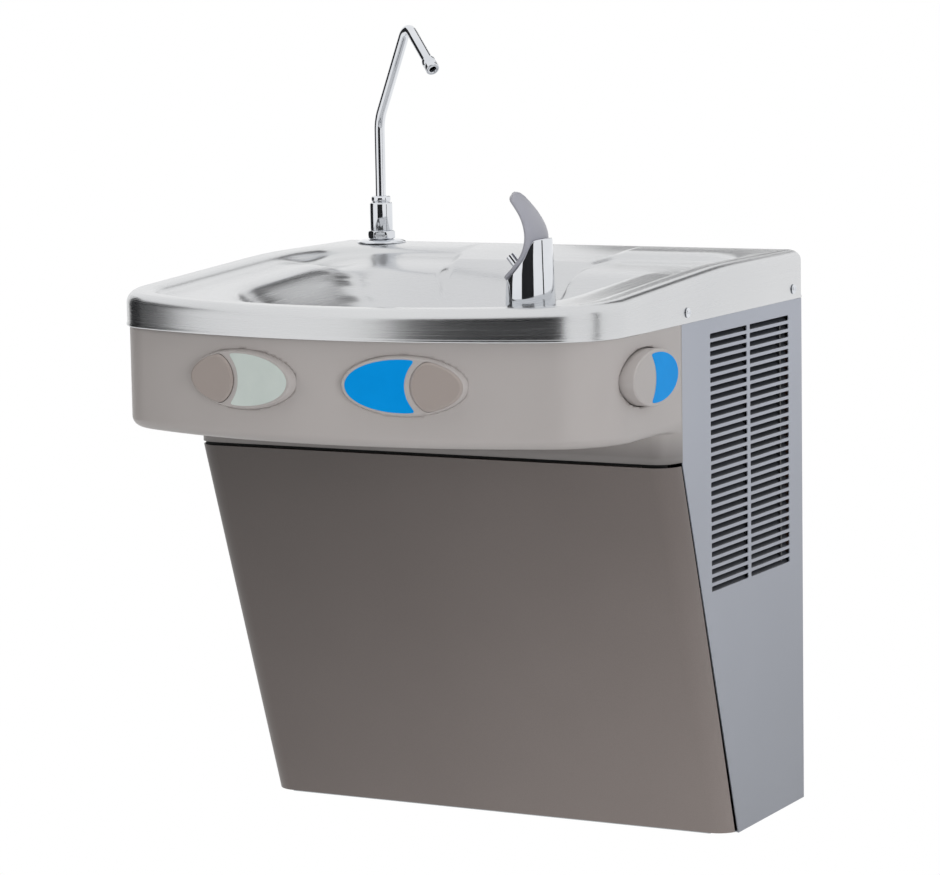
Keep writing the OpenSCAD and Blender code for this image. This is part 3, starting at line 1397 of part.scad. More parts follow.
hex_r = 15;
hex_h = 6;
elbow_r = 9;
elbow_y = 46;
elbow_top = 102;
inlet_end = 1.5;
inlet_bore_r = 7;
module inlet_fitting() {
    color([0.80, 0.65, 0.35]) difference() {
        union() {
            translate([inlet_x, -inlet_end, inlet_z]) rotate([90, 0, 0])
                cylinder(r = inlet_r, h = wall_gap + sheet_t - inlet_end + over, $fn = 96);
            stop_ring(inlet_x, inlet_z, inlet_r + stop_w);
            translate([inlet_x, -wall_gap - sheet_t, inlet_z]) rotate([90, 0, 0])
                cylinder(r = hex_r, h = hex_h, $fn = 6);
            translate([inlet_x, -wall_gap, inlet_z]) rotate([90, 0, 0])
                cylinder(r = elbow_r, h = elbow_y - wall_gap, $fn = 48);
            translate([inlet_x, -elbow_y, inlet_z - elbow_r])
                cylinder(r = elbow_r, h = elbow_top - inlet_z + elbow_r, $fn = 48);
        }
        translate([inlet_x, over, inlet_z]) rotate([90, 0, 0])
            cylinder(r = inlet_bore_r, h = elbow_y, $fn = 64);
        translate([inlet_x, -elbow_y, inlet_z]) cylinder(r = port_bore_r, h = elbow_top, $fn = 32);
    }
}

water_r = 4;
water_z = 276;
cold_z = 287;
water_y = valve_y;
loop_z = 165;
drop_x = 112;
mix_z = 372;
front_run_x = 130;
front_run_z = 378;
valve_in = valve_low - valve_stub_h;
valve_out = valve_low + valve_h + valve_stub_h;
tee_w = 11;
module water_tube(pts) { tube_run(pts, water_r, pipe_bend); }
module tee(p) { translate(p) cube(tee_w, center = true); }

// Tubes with a square tee block wherever one of them meets another
module water_tubes() {
    out_x = filter_x - filter_head_r - filter_port_l;
    tank_tee = [port_in - tank_x, -water_y, water_z];
    cold_tee = [port_out - tank_x, -water_y, cold_z];
    mix_tee = [valve_x[0], -water_y, mix_z];
    back = [0, -tee_w / 2, 0];
    color([0.80, 0.86, 0.92]) {
        tee(tank_tee);
        tee(cold_tee);
        tee(mix_tee);
        water_tube([[inlet_x, -elbow_y, elbow_top], [inlet_x, -elbow_y, loop_z], [inlet_x, -filter_y, loop_z],
            [inlet_x, -filter_y, filter_port_z], [filter_x * 2 - out_x, -filter_y, filter_port_z]]);
        water_tube([[out_x, -filter_y, filter_port_z], [drop_x, -filter_y, filter_port_z],
            [drop_x, -filter_y, water_z], [drop_x, -water_y, water_z], [valve_x[0], -water_y, water_z],
            [valve_x[0], -water_y, valve_in]]);
        water_tube([tank_tee + back, [port_in - tank_x, -tank_y, water_z],
            [port_in - tank_x, -tank_y, port_z]]);
        water_tube([[port_out - tank_x, -tank_y, port_z], [port_out - tank_x, -tank_y, cold_z],
            cold_tee + back]);
        water_tube([[valve_x[1], -water_y, valve_in], [valve_x[1], -water_y, cold_z],
            [valve_x[2], -water_y, cold_z], [valve_x[2], -water_y, valve_in]]);
        water_tube([[valve_x[0], -water_y, valve_out], [valve_x[0], -water_y, rim_z - spout_shank_l]]);
        water_tube([[valve_x[1], -water_y, valve_out], [valve_x[1], -water_y, mix_z],
            mix_tee + [tee_w / 2, 0, 0]]);
        water_tube([[valve_x[2], -water_y, valve_out], [valve_x[2], -water_y, front_run_z],
            [front_run_x, -water_y, front_run_z], [front_run_x, -bubbler_y, front_run_z],
            [bubbler_x, -bubbler_y, front_run_z],
            [bubbler_x, -bubbler_y, bubbler_foot_z - bubbler_shank_l]]);
    }
}

gland_bore_r = 4.5;
gland_nut_r = 13;
gland_nut_h = 5;
gland_l = 24;
module cord_gland() {
    color(dark) translate([gland_x, -wall_gap, gland_z]) rotate([90, 0, 0]) difference() {
        union() {
            translate([0, 0, -gland_nut_h]) cylinder(r = gland_nut_r, h = gland_nut_h, $fn = 6);
            translate([0, 0, -over]) cylinder(r = gland_r, h = gland_l, $fn = 48);
            translate([0, 0, sheet_t]) cylinder(r = gland_nut_r, h = gland_nut_h, $fn = 6);
        }
        translate([0, 0, -gland_nut_h - over])
            cylinder(r = gland_bore_r, h = gland_l + gland_nut_h * 2, $fn = 48);
    }
}

// Draws one node, or all of them

basin();
drain_strainer();
drain_body();
drain_gasket();
drain_nut();
waste_elbow();
bubbler_body();
mouth_guard();
bubbler_nozzle();
spout_flange();
spout_nut();
spout_body();
spout_tube();
spout_tip();
deck_nuts();
apron();
left_bezel();
centre_bezel();
side_socket();
left_button();
centre_button();
side_button();
left_label();
centre_label();
side_label();
left_switch();
centre_switch();
side_switch();
front_panel();
left_side_panel();
right_side_panel();
skirt_screws();
base_pan();
back_frame();
wall_bracket();
compressor();
compressor_feet();
terminal_cover();
condenser();
fan_shroud();
fan_motor();
fan_blade();
filter_drier();
discharge_line();
capillary_line();
suction_line();
cooling_tank();
evaporator_coil();
tank_insulation();
thermostat();
thermostat_knob();
water_filter();
inlet_fitting();
natural_valve();
cold_valve();
bubbler_valve();
valve_bracket();
jet_regulator();
water_tubes();
cord_gland();
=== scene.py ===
import bmesh
import bpy
import json
import math
import numpy as np
from mathutils import Matrix, Vector


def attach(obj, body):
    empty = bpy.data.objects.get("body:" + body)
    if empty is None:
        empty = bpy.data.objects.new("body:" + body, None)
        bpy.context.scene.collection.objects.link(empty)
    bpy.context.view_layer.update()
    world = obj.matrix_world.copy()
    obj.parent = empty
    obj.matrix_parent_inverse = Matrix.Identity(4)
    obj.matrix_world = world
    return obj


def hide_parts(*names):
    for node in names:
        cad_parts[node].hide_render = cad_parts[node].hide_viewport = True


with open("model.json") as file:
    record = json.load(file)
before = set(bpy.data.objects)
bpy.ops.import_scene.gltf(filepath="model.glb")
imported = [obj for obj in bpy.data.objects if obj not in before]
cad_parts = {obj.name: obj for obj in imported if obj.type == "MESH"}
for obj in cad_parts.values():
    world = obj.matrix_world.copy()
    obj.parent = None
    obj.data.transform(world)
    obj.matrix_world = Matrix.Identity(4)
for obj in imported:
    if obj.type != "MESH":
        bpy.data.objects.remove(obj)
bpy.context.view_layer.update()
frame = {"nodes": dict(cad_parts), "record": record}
nodes = frame["nodes"]
print("frame loaded:", len(nodes), "nodes")

# Camera, set once from the photograph's view
camera = dict(place=(1.44271, -2.95409, 0.74324), azimuth=27.63327, elevation=7.38397,
              roll=-0.983946, lens=138.31, sensor=36.0, far=60)


def linkObject(name, data):
    obj = bpy.data.objects.new(name, data)
    bpy.context.collection.objects.link(obj)
    return obj


def makeCamera(c):
    # The view direction comes from azimuth and elevation; the roll turns right and up about it
    az, el, ro = (math.radians(c[k]) for k in ("azimuth", "elevation", "roll"))
    view = Vector((-math.sin(az) * math.cos(el), math.cos(az) * math.cos(el), -math.sin(el)))
    right = Vector((math.cos(az), math.sin(az), 0))
    up = right.cross(view)
    x = right * math.cos(ro) + up * math.sin(ro)
    y = up * math.cos(ro) - right * math.sin(ro)
    data = bpy.data.cameras.new("viewCamera")
    data.lens, data.sensor_width, data.clip_end = c["lens"], c["sensor"], c["far"]
    obj = linkObject("viewCamera", data)
    m = Matrix((x, y, -view)).transposed().to_4x4()
    m.translation = Vector(c["place"])
    obj.matrix_world = m
    bpy.context.scene.camera = obj


makeCamera(camera)


# Small maths used by all the pieces; lengths are millimetres until a mesh is made
def ramp(x, a, b):
    # 0 below a, 1 above b, and 3t^2 - 2t^3 between them
    t = np.clip((x - a) / (b - a), 0, 1)
    return t * t * (3 - 2 * t)


def mix(a, b, t):
    # Straight blend: a + (b - a) t
    return a + (b - a) * t


def share(x, a, b):
    # 0 below a, 1 above b and straight between them
    return np.clip((x - a) / (b - a), 0, 1)


def pick(p, keys):
    # Several values of a piece's dictionary
    return [p[k] for k in keys.split()]


def arc(a, b, n, last=False):
    # n angles in radians from a to b in degrees
    return np.radians(np.linspace(a, b, n, endpoint=last))


def unit(v):
    # Vectors, or one vector, of length 1
    return v / np.linalg.norm(v, axis=-1, keepdims=True)


def circle(x, r, n):
    # n points round (x, 0); r is one radius, or one for each direction
    t = np.linspace(0, 2 * np.pi, n, endpoint=False)
    return np.c_[x + r * np.cos(t), r * np.sin(t)]


def runLength(points):
    # Distance along a line of points
    return np.r_[0, np.cumsum(np.linalg.norm(np.diff(points, axis=0), axis=1))]


def settleRows(grid, lo, hi, passes):
    # Each row from lo to hi becomes half of itself plus a quarter of both neighbours, passes times
    g = grid.copy()
    for _ in range(passes):
        g[lo:hi] = 0.25 * g[lo - 1:hi - 1] + 0.5 * g[lo:hi] + 0.25 * g[lo + 1:hi + 1]
    return g


def settleRound(loop, passes, axis=0):
    # The same for every point of closed loops
    for _ in range(passes):
        loop = 0.25 * np.roll(loop, 1, axis) + 0.5 * loop + 0.25 * np.roll(loop, -1, axis)
    return loop


def placed(points, matrix):
    # Local millimetre points to frame millimetres: M p + t
    m = np.array(matrix)
    return points @ m[:3, :3].T + m[:3, 3]


def gridFaces(rows, cols, wrap):
    # Quads (i,j) (i,j+1) (i+1,j+1) (i+1,j); with wrap the last column joins the first
    i, j = np.meshgrid(np.arange(rows - 1), np.arange(cols if wrap else cols - 1), indexing="ij")
    k = (j + 1) % cols
    quads = [i * cols + j, i * cols + k, (i + 1) * cols + k, (i + 1) * cols + j]
    return np.stack(quads, -1).reshape(-1, 4)


def meshPiece(name, points, faces, uv=None, smooth=True, caps=()):
    # Whole arrays go into the mesh; caps are flat faces, given as lists of vertex numbers
    mesh = bpy.data.meshes.new(name)
    mesh.from_pydata(np.asarray(points) / 1000.0, [], [list(f) for f in faces] + list(caps))
    sides = len(mesh.polygons) - len(caps)
    mesh.polygons.foreach_set("use_smooth", [smooth] * sides + [False] * len(caps))
    if uv is not None:
        layer = mesh.uv_layers.new(name="UVMap")
        loops = np.zeros(len(mesh.loops), np.int32)
        mesh.loops.foreach_get("vertex_index", loops)
        layer.data.foreach_set("uv", uv[loops].ravel())
    mesh.update()
    return linkObject(name, mesh)


def tidyMesh(obj, merge=0.0, turn=True):
    # Loose points go, points nearer than merge become one, and the faces are turned outwards
    bm = bmesh.new()
    bm.from_mesh(obj.data)
    bmesh.ops.delete(bm, geom=[v for v in bm.verts if not v.link_faces], context="VERTS")
    if merge:
        bmesh.ops.remove_doubles(bm, verts=bm.verts, dist=merge / 1000)
    if turn:
        bmesh.ops.recalc_face_normals(bm, faces=bm.faces)
    bm.to_mesh(obj.data)
    bm.free()
    return obj


def addWall(obj, thick):
    # A sheet gets its thickness on the inside
    wall = obj.modifiers.new("wall", "SOLIDIFY")
    wall.thickness, wall.offset, wall.use_quality_normals = thick / 1000, -1, True
    return obj


def lengthUv(grid, closed):
    # u is the distance along the middle row, v the distance down the rows, both in millimetres
    g = np.concatenate([grid, grid[:, :1]], 1) if closed else grid
    step = np.linalg.norm(np.diff(g, axis=1), axis=2).mean(0)
    u = np.r_[0, np.cumsum(step)][:grid.shape[1]]
    v = np.r_[0, np.cumsum(np.linalg.norm(np.diff(grid, axis=0), axis=2).mean(1))]
    return np.stack(np.broadcast_arrays(u[None, :], v[:, None]), -1).reshape(-1, 2)


def ringPiece(name, rings, capped=False, merge=0.0):
    # A strip of closed rings as a surface, with a flat face over both ends if capped
    rows, cols = rings.shape[:2]
    ends = [list(range(cols)), list(range((rows - 1) * cols, rows * cols))] if capped else []
    obj = meshPiece(name, rings.reshape(-1, 3), gridFaces(rows, cols, True),
                    lengthUv(rings, True), True, ends)
    return tidyMesh(obj, merge) if capped or merge else obj


def stack(steps, place=Matrix()):
    # Plan loops, each with its height, as rings in the frame
    rings = [np.c_[loop, np.broadcast_to(z, len(loop))] for loop, z in steps]
    return placed(np.array(rings), place)


def insetLoop(loop, e):
    # A closed plan loop moved inwards by e along its own normals (the loop runs anticlockwise)
    t = np.roll(loop, -1, 0) - np.roll(loop, 1, 0)
    return loop + unit(np.c_[-t[:, 1], t[:, 0]]) * e


def insetSteps(loop, rows):
    # One copy of the loop for every inset and height
    return [(insetLoop(loop, e), z) for e, z in rows]


def roundSteps(r, z, n):
    # Quarter round that ends level at z: inset r (1 - cos a), height z - r (1 - sin a)
    return [(r * (1 - math.cos(a)), z - r * (1 - math.sin(a))) for a in arc(0, 90, n, True)]


def revolve(name, profile, place, turns):
    # Closed profile of radius and height pairs turned about local Z: (r cos t, r sin t, z)
    steps = [(circle(0, r, turns), z) for r, z in profile]
    return ringPiece(name, stack(steps, place), merge=0.001)


def bentPath(corners, radii, straight, bent):
    # Straight lengths with a circle arc of the given radius fitted into each corner
    c = [np.array(p, float) for p in corners]
    pts = [c[0]]
    for before, at, after, r in zip(c, c[1:], c[2:], radii):
        u, w = unit(at - before), unit(after - at)
        half = math.acos(np.clip(u @ w, -1, 1)) / 2
        cut = r * math.tan(half)
        inward = unit(w - u * (u @ w))
        start = at - u * cut
        t = np.linspace(0, 2 * half, bent)[:, None]
        bend = start + inward * r + r * (u * np.sin(t) - inward * np.cos(t))
        pts.extend([*np.linspace(pts[-1], start, straight)[1:-1], *bend])
    pts.extend(np.linspace(pts[-1], c[-1], straight)[1:])
    return np.array(pts)


def sweep(path, r, turns):
    # A circle carried along a path: p + r (a cos t + b sin t), with a and b square to the path
    d = unit(np.gradient(path, axis=0))
    side = unit(np.cross(d, [0, 1, 0.0]))
    other = np.cross(d, side)
    t = np.linspace(0, 2 * np.pi, turns, endpoint=False)[None, :, None]
    return path[:, None] + r * (side[:, None] * np.cos(t) + other[:, None] * np.sin(t))


# Materials
def shade(r, g, b):
    # An 8-bit screen colour as the linear colour that a shader reads
    c = np.array([r, g, b]) / 255
    return tuple(np.where(c <= 0.04045, c / 12.92, ((c + 0.055) / 1.055) ** 2.4)) + (1.0,)


def feed(tree, socket, value):
    # A socket takes a plain value, or a link from another socket
    if isinstance(value, (int, float, tuple)):
        socket.default_value = value
    else:
        tree.links.new(value, socket)


def addNode(tree, kind, inputs=(), **settings):
    # A node with its settings and the values or links of its inputs
    n = tree.nodes.new("ShaderNode" + kind)
    for key, value in settings.items():
        setattr(n, key, value)
    for key, value in dict(inputs).items():
        feed(tree, n.inputs[key], value)
    return n


def mathNode(tree, operation, *values):
    return addNode(tree, "Math", enumerate(values), operation=operation).outputs[0]


def noiseNode(tree, vector, scale, detail, rough=0.5):
    inputs = dict(Vector=vector, Scale=scale, Detail=detail, Roughness=rough)
    return addNode(tree, "TexNoise", inputs).outputs["Fac"]


def mixColour(tree, factor, a, b, kind="MIX"):
    # Sockets 0, 6 and 7 are the factor and both colours
    n = addNode(tree, "Mix", data_type="RGBA", blend_type=kind)
    for k, value in ((0, factor), (6, a), (7, b)):
        feed(tree, n.inputs[k], value)
    return n.outputs[2]


def mapRange(tree, value, low, high, toLow=0.0, toHigh=1.0):
    inputs = {"Value": value, "From Min": low, "From Max": high, "To Min": toLow, "To Max": toHigh}
    return addNode(tree, "MapRange", inputs).outputs[0]


def newGroup(name, inputs, outputs):
    # Sockets are given as name=kind
    g = bpy.data.node_groups.new(name, "ShaderNodeTree")
    for way, sockets in (("INPUT", inputs), ("OUTPUT", outputs)):
        for key, kind in sockets.items():
            g.interface.new_socket(key, in_out=way, socket_type="NodeSocket" + kind)
    return g, g.nodes.new("NodeGroupInput").outputs, g.nodes.new("NodeGroupOutput").inputs


def makeStretchedGrain():
    # Noise on coordinates scaled apart along and across: the fine lines of brushed or drawn metal
    g, i, o = newGroup("stretchedGrain", dict(Vector="Vector", Across="Float", Along="Float"),
                       dict(Value="Float"))
    sep = addNode(g, "SeparateXYZ", {0: i["Vector"]}).outputs
    scaled = [mathNode(g, "MULTIPLY", sep[k], i[key])
              for k, key in enumerate(("Along", "Across", "Across"))]
    flow = addNode(g, "CombineXYZ", enumerate(scaled)).outputs[0]
    fine, broad = noiseNode(g, flow, 1.0, 3.0, 0.6), noiseNode(g, flow, 0.23, 2.0)
    half = mathNode(g, "MULTIPLY", fine, 0.5)
    feed(g, o["Value"], mathNode(g, "MULTIPLY_ADD", broad, 0.5, half))
    return g


def makeCloudyTint():
    # Two tints blended by broad soft noise, the unevenness of a sprayed or moulded colour
    sockets = dict(Vector="Vector", Scale="Float", Light="Color", Dark="Color")
    g, i, o = newGroup("cloudyTint", sockets, dict(Color="Color", Mask="Float"))
    soft = mapRange(g, noiseNode(g, i["Vector"], i["Scale"], 3.0, 0.55), 0.32, 0.68)
    feed(g, o["Color"], mixColour(g, soft, i["Dark"], i["Light"]))
    feed(g, o["Mask"], soft)
    return g


def makeFineSkin():
    # A fine pebbled height: round cells over finer noise, as on powder coat and eroded moulds
    g, i, o = newGroup("fineSkin", dict(Vector="Vector", Scale="Float"),
                       dict(Height="Float", Speck="Float"))
    cells = addNode(g, "TexVoronoi", feature="SMOOTH_F1")
    feed(g, cells.inputs["Vector"], i["Vector"])
    feed(g, cells.inputs["Scale"], i["Scale"])
    fine = noiseNode(g, i["Vector"], mathNode(g, "MULTIPLY", i["Scale"], 1.7), 2.0)
    pebble = mathNode(g, "MULTIPLY", cells.outputs["Distance"], -0.6)
    feed(g, o["Height"], mathNode(g, "ADD", pebble, mathNode(g, "MULTIPLY", fine, 0.5)))
    feed(g, o["Speck"], fine)
    return g


groups = dict(grain=makeStretchedGrain(), tint=makeCloudyTint(), skin=makeFineSkin())


def useGroup(tree, kind, **values):
    n = addNode(tree, "Group", node_tree=groups[kind])
    for key, value in values.items():
        feed(tree, n.inputs[key], value)
    return n.outputs


def freshTree(owner):
    owner.use_nodes = True
    owner.node_tree.nodes.clear()
    return owner.node_tree


coatRough, speckShade = 0.12, 0.55


def makeMaterial(name, light, dark, rough, metal, tint, bump, depth, fine, coat=0, spec=0.5,
                 useUv=False, speck=0):
    # Cloudy base colour (0 to 255), with roughness and bump from one and the same height
    m = bpy.data.materials.new(name)
    t = freshTree(m)
    coords = addNode(t, "TexCoord").outputs
    cloudy = useGroup(t, "tint", Vector=coords["Object"], Scale=tint, Light=shade(*light),
                      Dark=shade(*dark))
    colour, height = cloudy["Color"], cloudy["Mask"]
    if isinstance(fine, tuple):
        flow = coords["UV" if useUv else "Object"]
        height = useGroup(t, "grain", Vector=flow, Across=fine[0], Along=fine[1])["Value"]
    elif fine:
        pebbled = useGroup(t, "skin", Vector=coords["Object"], Scale=fine)
        height = pebbled["Height"]
        if speck:
            deep = tuple(speckShade * c for c in shade(*dark)[:3]) + (1.0,)
            colour = mixColour(t, mathNode(t, "MULTIPLY", pebbled["Speck"], speck), colour, deep)
    shader = addNode(t, "BsdfPrincipled", {
        "Base Color": colour, "Roughness": mapRange(t, height, 0.25, 0.75, *rough),
        "Metallic": metal, "Specular IOR Level": spec})
    if bump:
        relief = addNode(t, "Bump", {"Strength": bump, "Distance": depth / 1e6, "Height": height})
        feed(t, shader.inputs["Normal"], relief.outputs[0])
    if coat:
        feed(t, shader.inputs["Coat Weight"], coat)
        feed(t, shader.inputs["Coat Roughness"], coatRough)
    addNode(t, "OutputMaterial", {0: shader.outputs[0]})
    return m


# Per slot: name, light and dark tint, roughness range, metal, tint scale, bump and its depth in
# micrometres, then the skin's scale or the grain's across and along (per metre, or per mm of UV)
finishTable = dict(
    basin_steel=("brushedBasinSteel", (216, 217, 218), (207, 208, 210), (0.19, 0.31), 1, 3,
                 0.05, 30, (2.6, 0.03), 0, 0.5, True),
    chrome=("polishedChrome", (226, 228, 232), (214, 217, 222), (0.03, 0.07), 1, 20, 0, 0, 0),
    apron=("apronMoulding", (196, 190, 187), (190, 184, 181), (0.40, 0.50), 0, 4, 0.12, 60, 900),
    disc=("discMoulding", (176, 165, 159), (170, 159, 153), (0.42, 0.52), 0, 4, 0.12, 60, 900),
    front_panel=("frontPanelPaint", (125, 116, 112), (117, 108, 104), (0.40, 0.55), 0.15, 3,
                 0.22, 100, 700, 0, 0.5, False, 0.35),
    side_panel=("sidePanelPaint", (166, 170, 180), (158, 162, 172), (0.34, 0.46), 0.25, 3,
                0.10, 60, 800),
    # The louvre finish is painted shade: a dark tint on the pressed blades, which are panel sheet,
    # standing in for the shadow inside the slots
    louvre=("louvrePaintedShade", (58, 60, 66), (46, 48, 53), (0.40, 0.55), 0, 9, 0.10, 60, 800),
    guard=("guardMoulding", (176, 176, 184), (168, 168, 177), (0.34, 0.46), 0, 12, 0.12, 50, 1100),
    label_white=("whiteFilm", (222, 232, 226), (214, 225, 219), (0.22, 0.30), 0, 30,
                 0.05, 30, 1500, 0.25),
    label_blue=("blueFilm", (10, 166, 252), (6, 160, 246), (0.30, 0.38), 0, 30,
                0.05, 30, 1500, 0, 0.05),
    zinc_steel=("zincCoat", (176, 180, 183), (168, 172, 176), (0.38, 0.48), 0.9, 14, 0.06, 50, 420),
    dark_plastic=("darkMoulding", (46, 46, 49), (38, 38, 41), (0.42, 0.55), 0, 20, 0.15, 60, 900),
    compressor_black=("blackLacquer", (34, 34, 36), (24, 24, 26), (0.22, 0.34), 0, 14,
                      0.12, 100, 260, 0.3),
    coil_black=("finLacquer", (44, 44, 47), (34, 34, 37), (0.40, 0.55), 0.2, 30, 0.1, 80, 500),
    copper=("drawnCopper", (202, 128, 92), (172, 100, 70), (0.24, 0.40), 1, 28,
            0.08, 50, (700, 60)),
    brass=("turnedBrass", (204, 172, 106), (188, 154, 88), (0.20, 0.34), 1, 30,
           0.08, 40, (1200, 200)),
    rubber=("mattRubber", (36, 36, 36), (28, 28, 28), (0.62, 0.78), 0, 30, 0.2, 60, 1400),
    foam=("foamSkin", (234, 226, 200), (216, 204, 168), (0.60, 0.80), 0, 22, 0.4, 400, 220),
    white_plastic=("whiteMoulding", (226, 228, 226), (216, 219, 217), (0.36, 0.46), 0, 16,
                   0.1, 50, 900),
    pipe_plastic=("pipeMoulding", (222, 222, 217), (211, 211, 205), (0.26, 0.36), 0, 12,
                  0.06, 40, 900),
    tube_plastic=("tubeMoulding", (206, 222, 238), (192, 212, 232), (0.22, 0.32), 0, 18,
                  0.05, 40, 900, 0.2),
    fan_metal=("fanSheet", (202, 204, 208), (186, 188, 193), (0.26, 0.40), 1, 30,
               0.1, 60, (500, 30)),
    stainless=("tankSteel", (190, 192, 195), (176, 178, 182), (0.24, 0.38), 1, 18,
               0.08, 60, (800, 20)))
finishes = {slot: makeMaterial(*row) for slot, row in finishTable.items()}


def addPaintedShade(material, base, perX, perZ, low=0.45, high=1.6):
    # Painted light and shade on large satin faces: base colour times base + perX x + perZ z,
    # clamped from low to high
    t = material.node_tree
    shader = next(n for n in t.nodes if n.type == "BSDF_PRINCIPLED")
    sep = addNode(t, "SeparateXYZ", {0: addNode(t, "TexCoord").outputs["Object"]}).outputs
    value = mathNode(t, "MULTIPLY_ADD", sep[0], perX, base)
    value = mathNode(t, "MULTIPLY_ADD", sep[2], perZ, value)
    value = mathNode(t, "MINIMUM", mathNode(t, "MAXIMUM", value, low), high)
    grey = addNode(t, "CombineXYZ", enumerate([value] * 3)).outputs[0]
    colour = shader.inputs["Base Color"]
    feed(t, colour, mixColour(t, 1.0, colour.links[0].from_socket, grey, "MULTIPLY"))


# Painted shade on the front panel: darker towards the top and the left under the apron's overhang,
# lighter towards the bottom right
addPaintedShade(finishes["front_panel"], 1.27, 1.2, -1.7)
# Painted light on the side panels: lighter towards the top, darker towards the foot
addPaintedShade(finishes["side_panel"], 0.76, 0.0, 1.1)
# Painted shade on the apron: darker from about 372 mm down, over the lower round, the underside and
# the neck that the bulge shades
addPaintedShade(finishes["apron"], -6.0, 0.0, 18.8, 0.45, 1.0)
slotOf = {p["node"]: p["material_slot"] for p in frame["record"]["subparts"]}
bodies = frame["record"]["behaviour"]["bodies"]
bodyOf = {n: body for body, members in bodies.items() for n in members}
for nodeName, obj in nodes.items():
    obj.data.materials.clear()
    obj.data.materials.append(finishes[slotOf[nodeName]])
print("materials made:", len(finishes))


def finishPiece(obj, *covers, body=None, slot=None, material=None):
    # The piece takes body and finish from the first node that it stands for
    slot = slot or slotOf[covers[0]]
    obj.data.materials.clear()
    obj.data.materials.append(material or finishes[slot])
    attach(obj, body or bodyOf[covers[0]])
    if covers:
        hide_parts(*covers)


# Basin: one drawn sheet from the rolled hem over the rim and down to the drain
basin = dict(halfWidth=230, depth=462.5, rim=494.0, foot=451.0, shoulder=10.0, face=0.6,
             hem=((1.5, 0.35), (1.0, 0.05), (0.5, 0.0), (0.15, 0.3), (0, 0.9), (0.05, 1.6),
                  (0.3, 2.3), (0.55, 3.0), (0.6, 3.8)),
             frontR=504.7, cornerR=67, rearR=2, fall=0.0605, fallStart=165, fallSoft=12,
             deck=58, rimWidth=24, recess=6.5, recessIn=5, recessRearR=46, recessCornerR=44,
             shelfStep=8, shelfDrop=8, shelfEdge=133, deckRun=46,
             tongueHalf=80, tongueTip=64, tongueEnd=102, tongueStart=28, tongueDrop=9.5,
             tongueSoft=4, tongueFar=170, tongueFoot=20,
             bowlHalf=153, bowlFront=406, bowlCorner=106, bowlRear=34, lip=5, lipDrop=2,
             lipFrom=134, lipFull=170, drainY=235, drainR=33, drainZ=402.0, power=2.3, crowd=1.25,
             sheet=1.0, skirtRows=4, shoulderRows=12, rows=(5, 6, 12, 6), bowlRows=46,
             edgePasses=9, lipRows=9, lipPasses=26, crestRounds=3,
             bowlRounds=((2, 12), (5, 20), (10, 30)))
# How many points each length of the outline gets; front: side, corner and arc
outlinePoints = dict(back=((0, 0.86, 12), (0.86, 1.16, 18)), rest=18, rear=18, front=(28, 38, 58))


def frontOutline(x, yStart, r, f, y0, counts):
    # The side from yStart, the front corner of radius r and the front arc of radius f about y0
    yc = y0 - math.sqrt((f - r) ** 2 - (x - r) ** 2)
    turn = math.degrees(math.atan2(yc - y0, x - r))
    side = np.linspace(yStart, yc, counts[0], endpoint=False)
    c, a = arc(0, turn, counts[1]), arc(turn, -90, counts[2], True)
    return np.r_[np.c_[np.full(len(side), x), side],
                 np.c_[x - r + r * np.cos(c), yc + r * np.sin(c)],
                 np.c_[f * np.cos(a), y0 + f * np.sin(a)]]


def halfOutline(xs, yb, yf, rr, rc, rf, tw):
    # From the middle of the back, with more points where the tongue's edge crosses it
    marks = [(a * tw, b * tw, n) for a, b, n in outlinePoints["back"]]
    marks.append((marks[-1][1], xs - rr, outlinePoints["rest"]))
    back = np.concatenate([np.linspace(a, b, n, endpoint=False) for a, b, n in marks])
    a = arc(90, 0, outlinePoints["rear"])
    return np.r_[np.c_[back, np.full(len(back), -yb)],
                 np.c_[xs - rr + rr * np.cos(a), -yb - rr + rr * np.sin(a)],
                 frontOutline(xs, -yb - rr, rc, rf, rf - yf, outlinePoints["front"])]


def wholeOutline(*sizes):
    # The half outline mirrored, so that the ring runs anticlockwise seen from above
    h = halfOutline(*sizes)
    return np.r_[h * [-1, 1], h[-2:0:-1]]


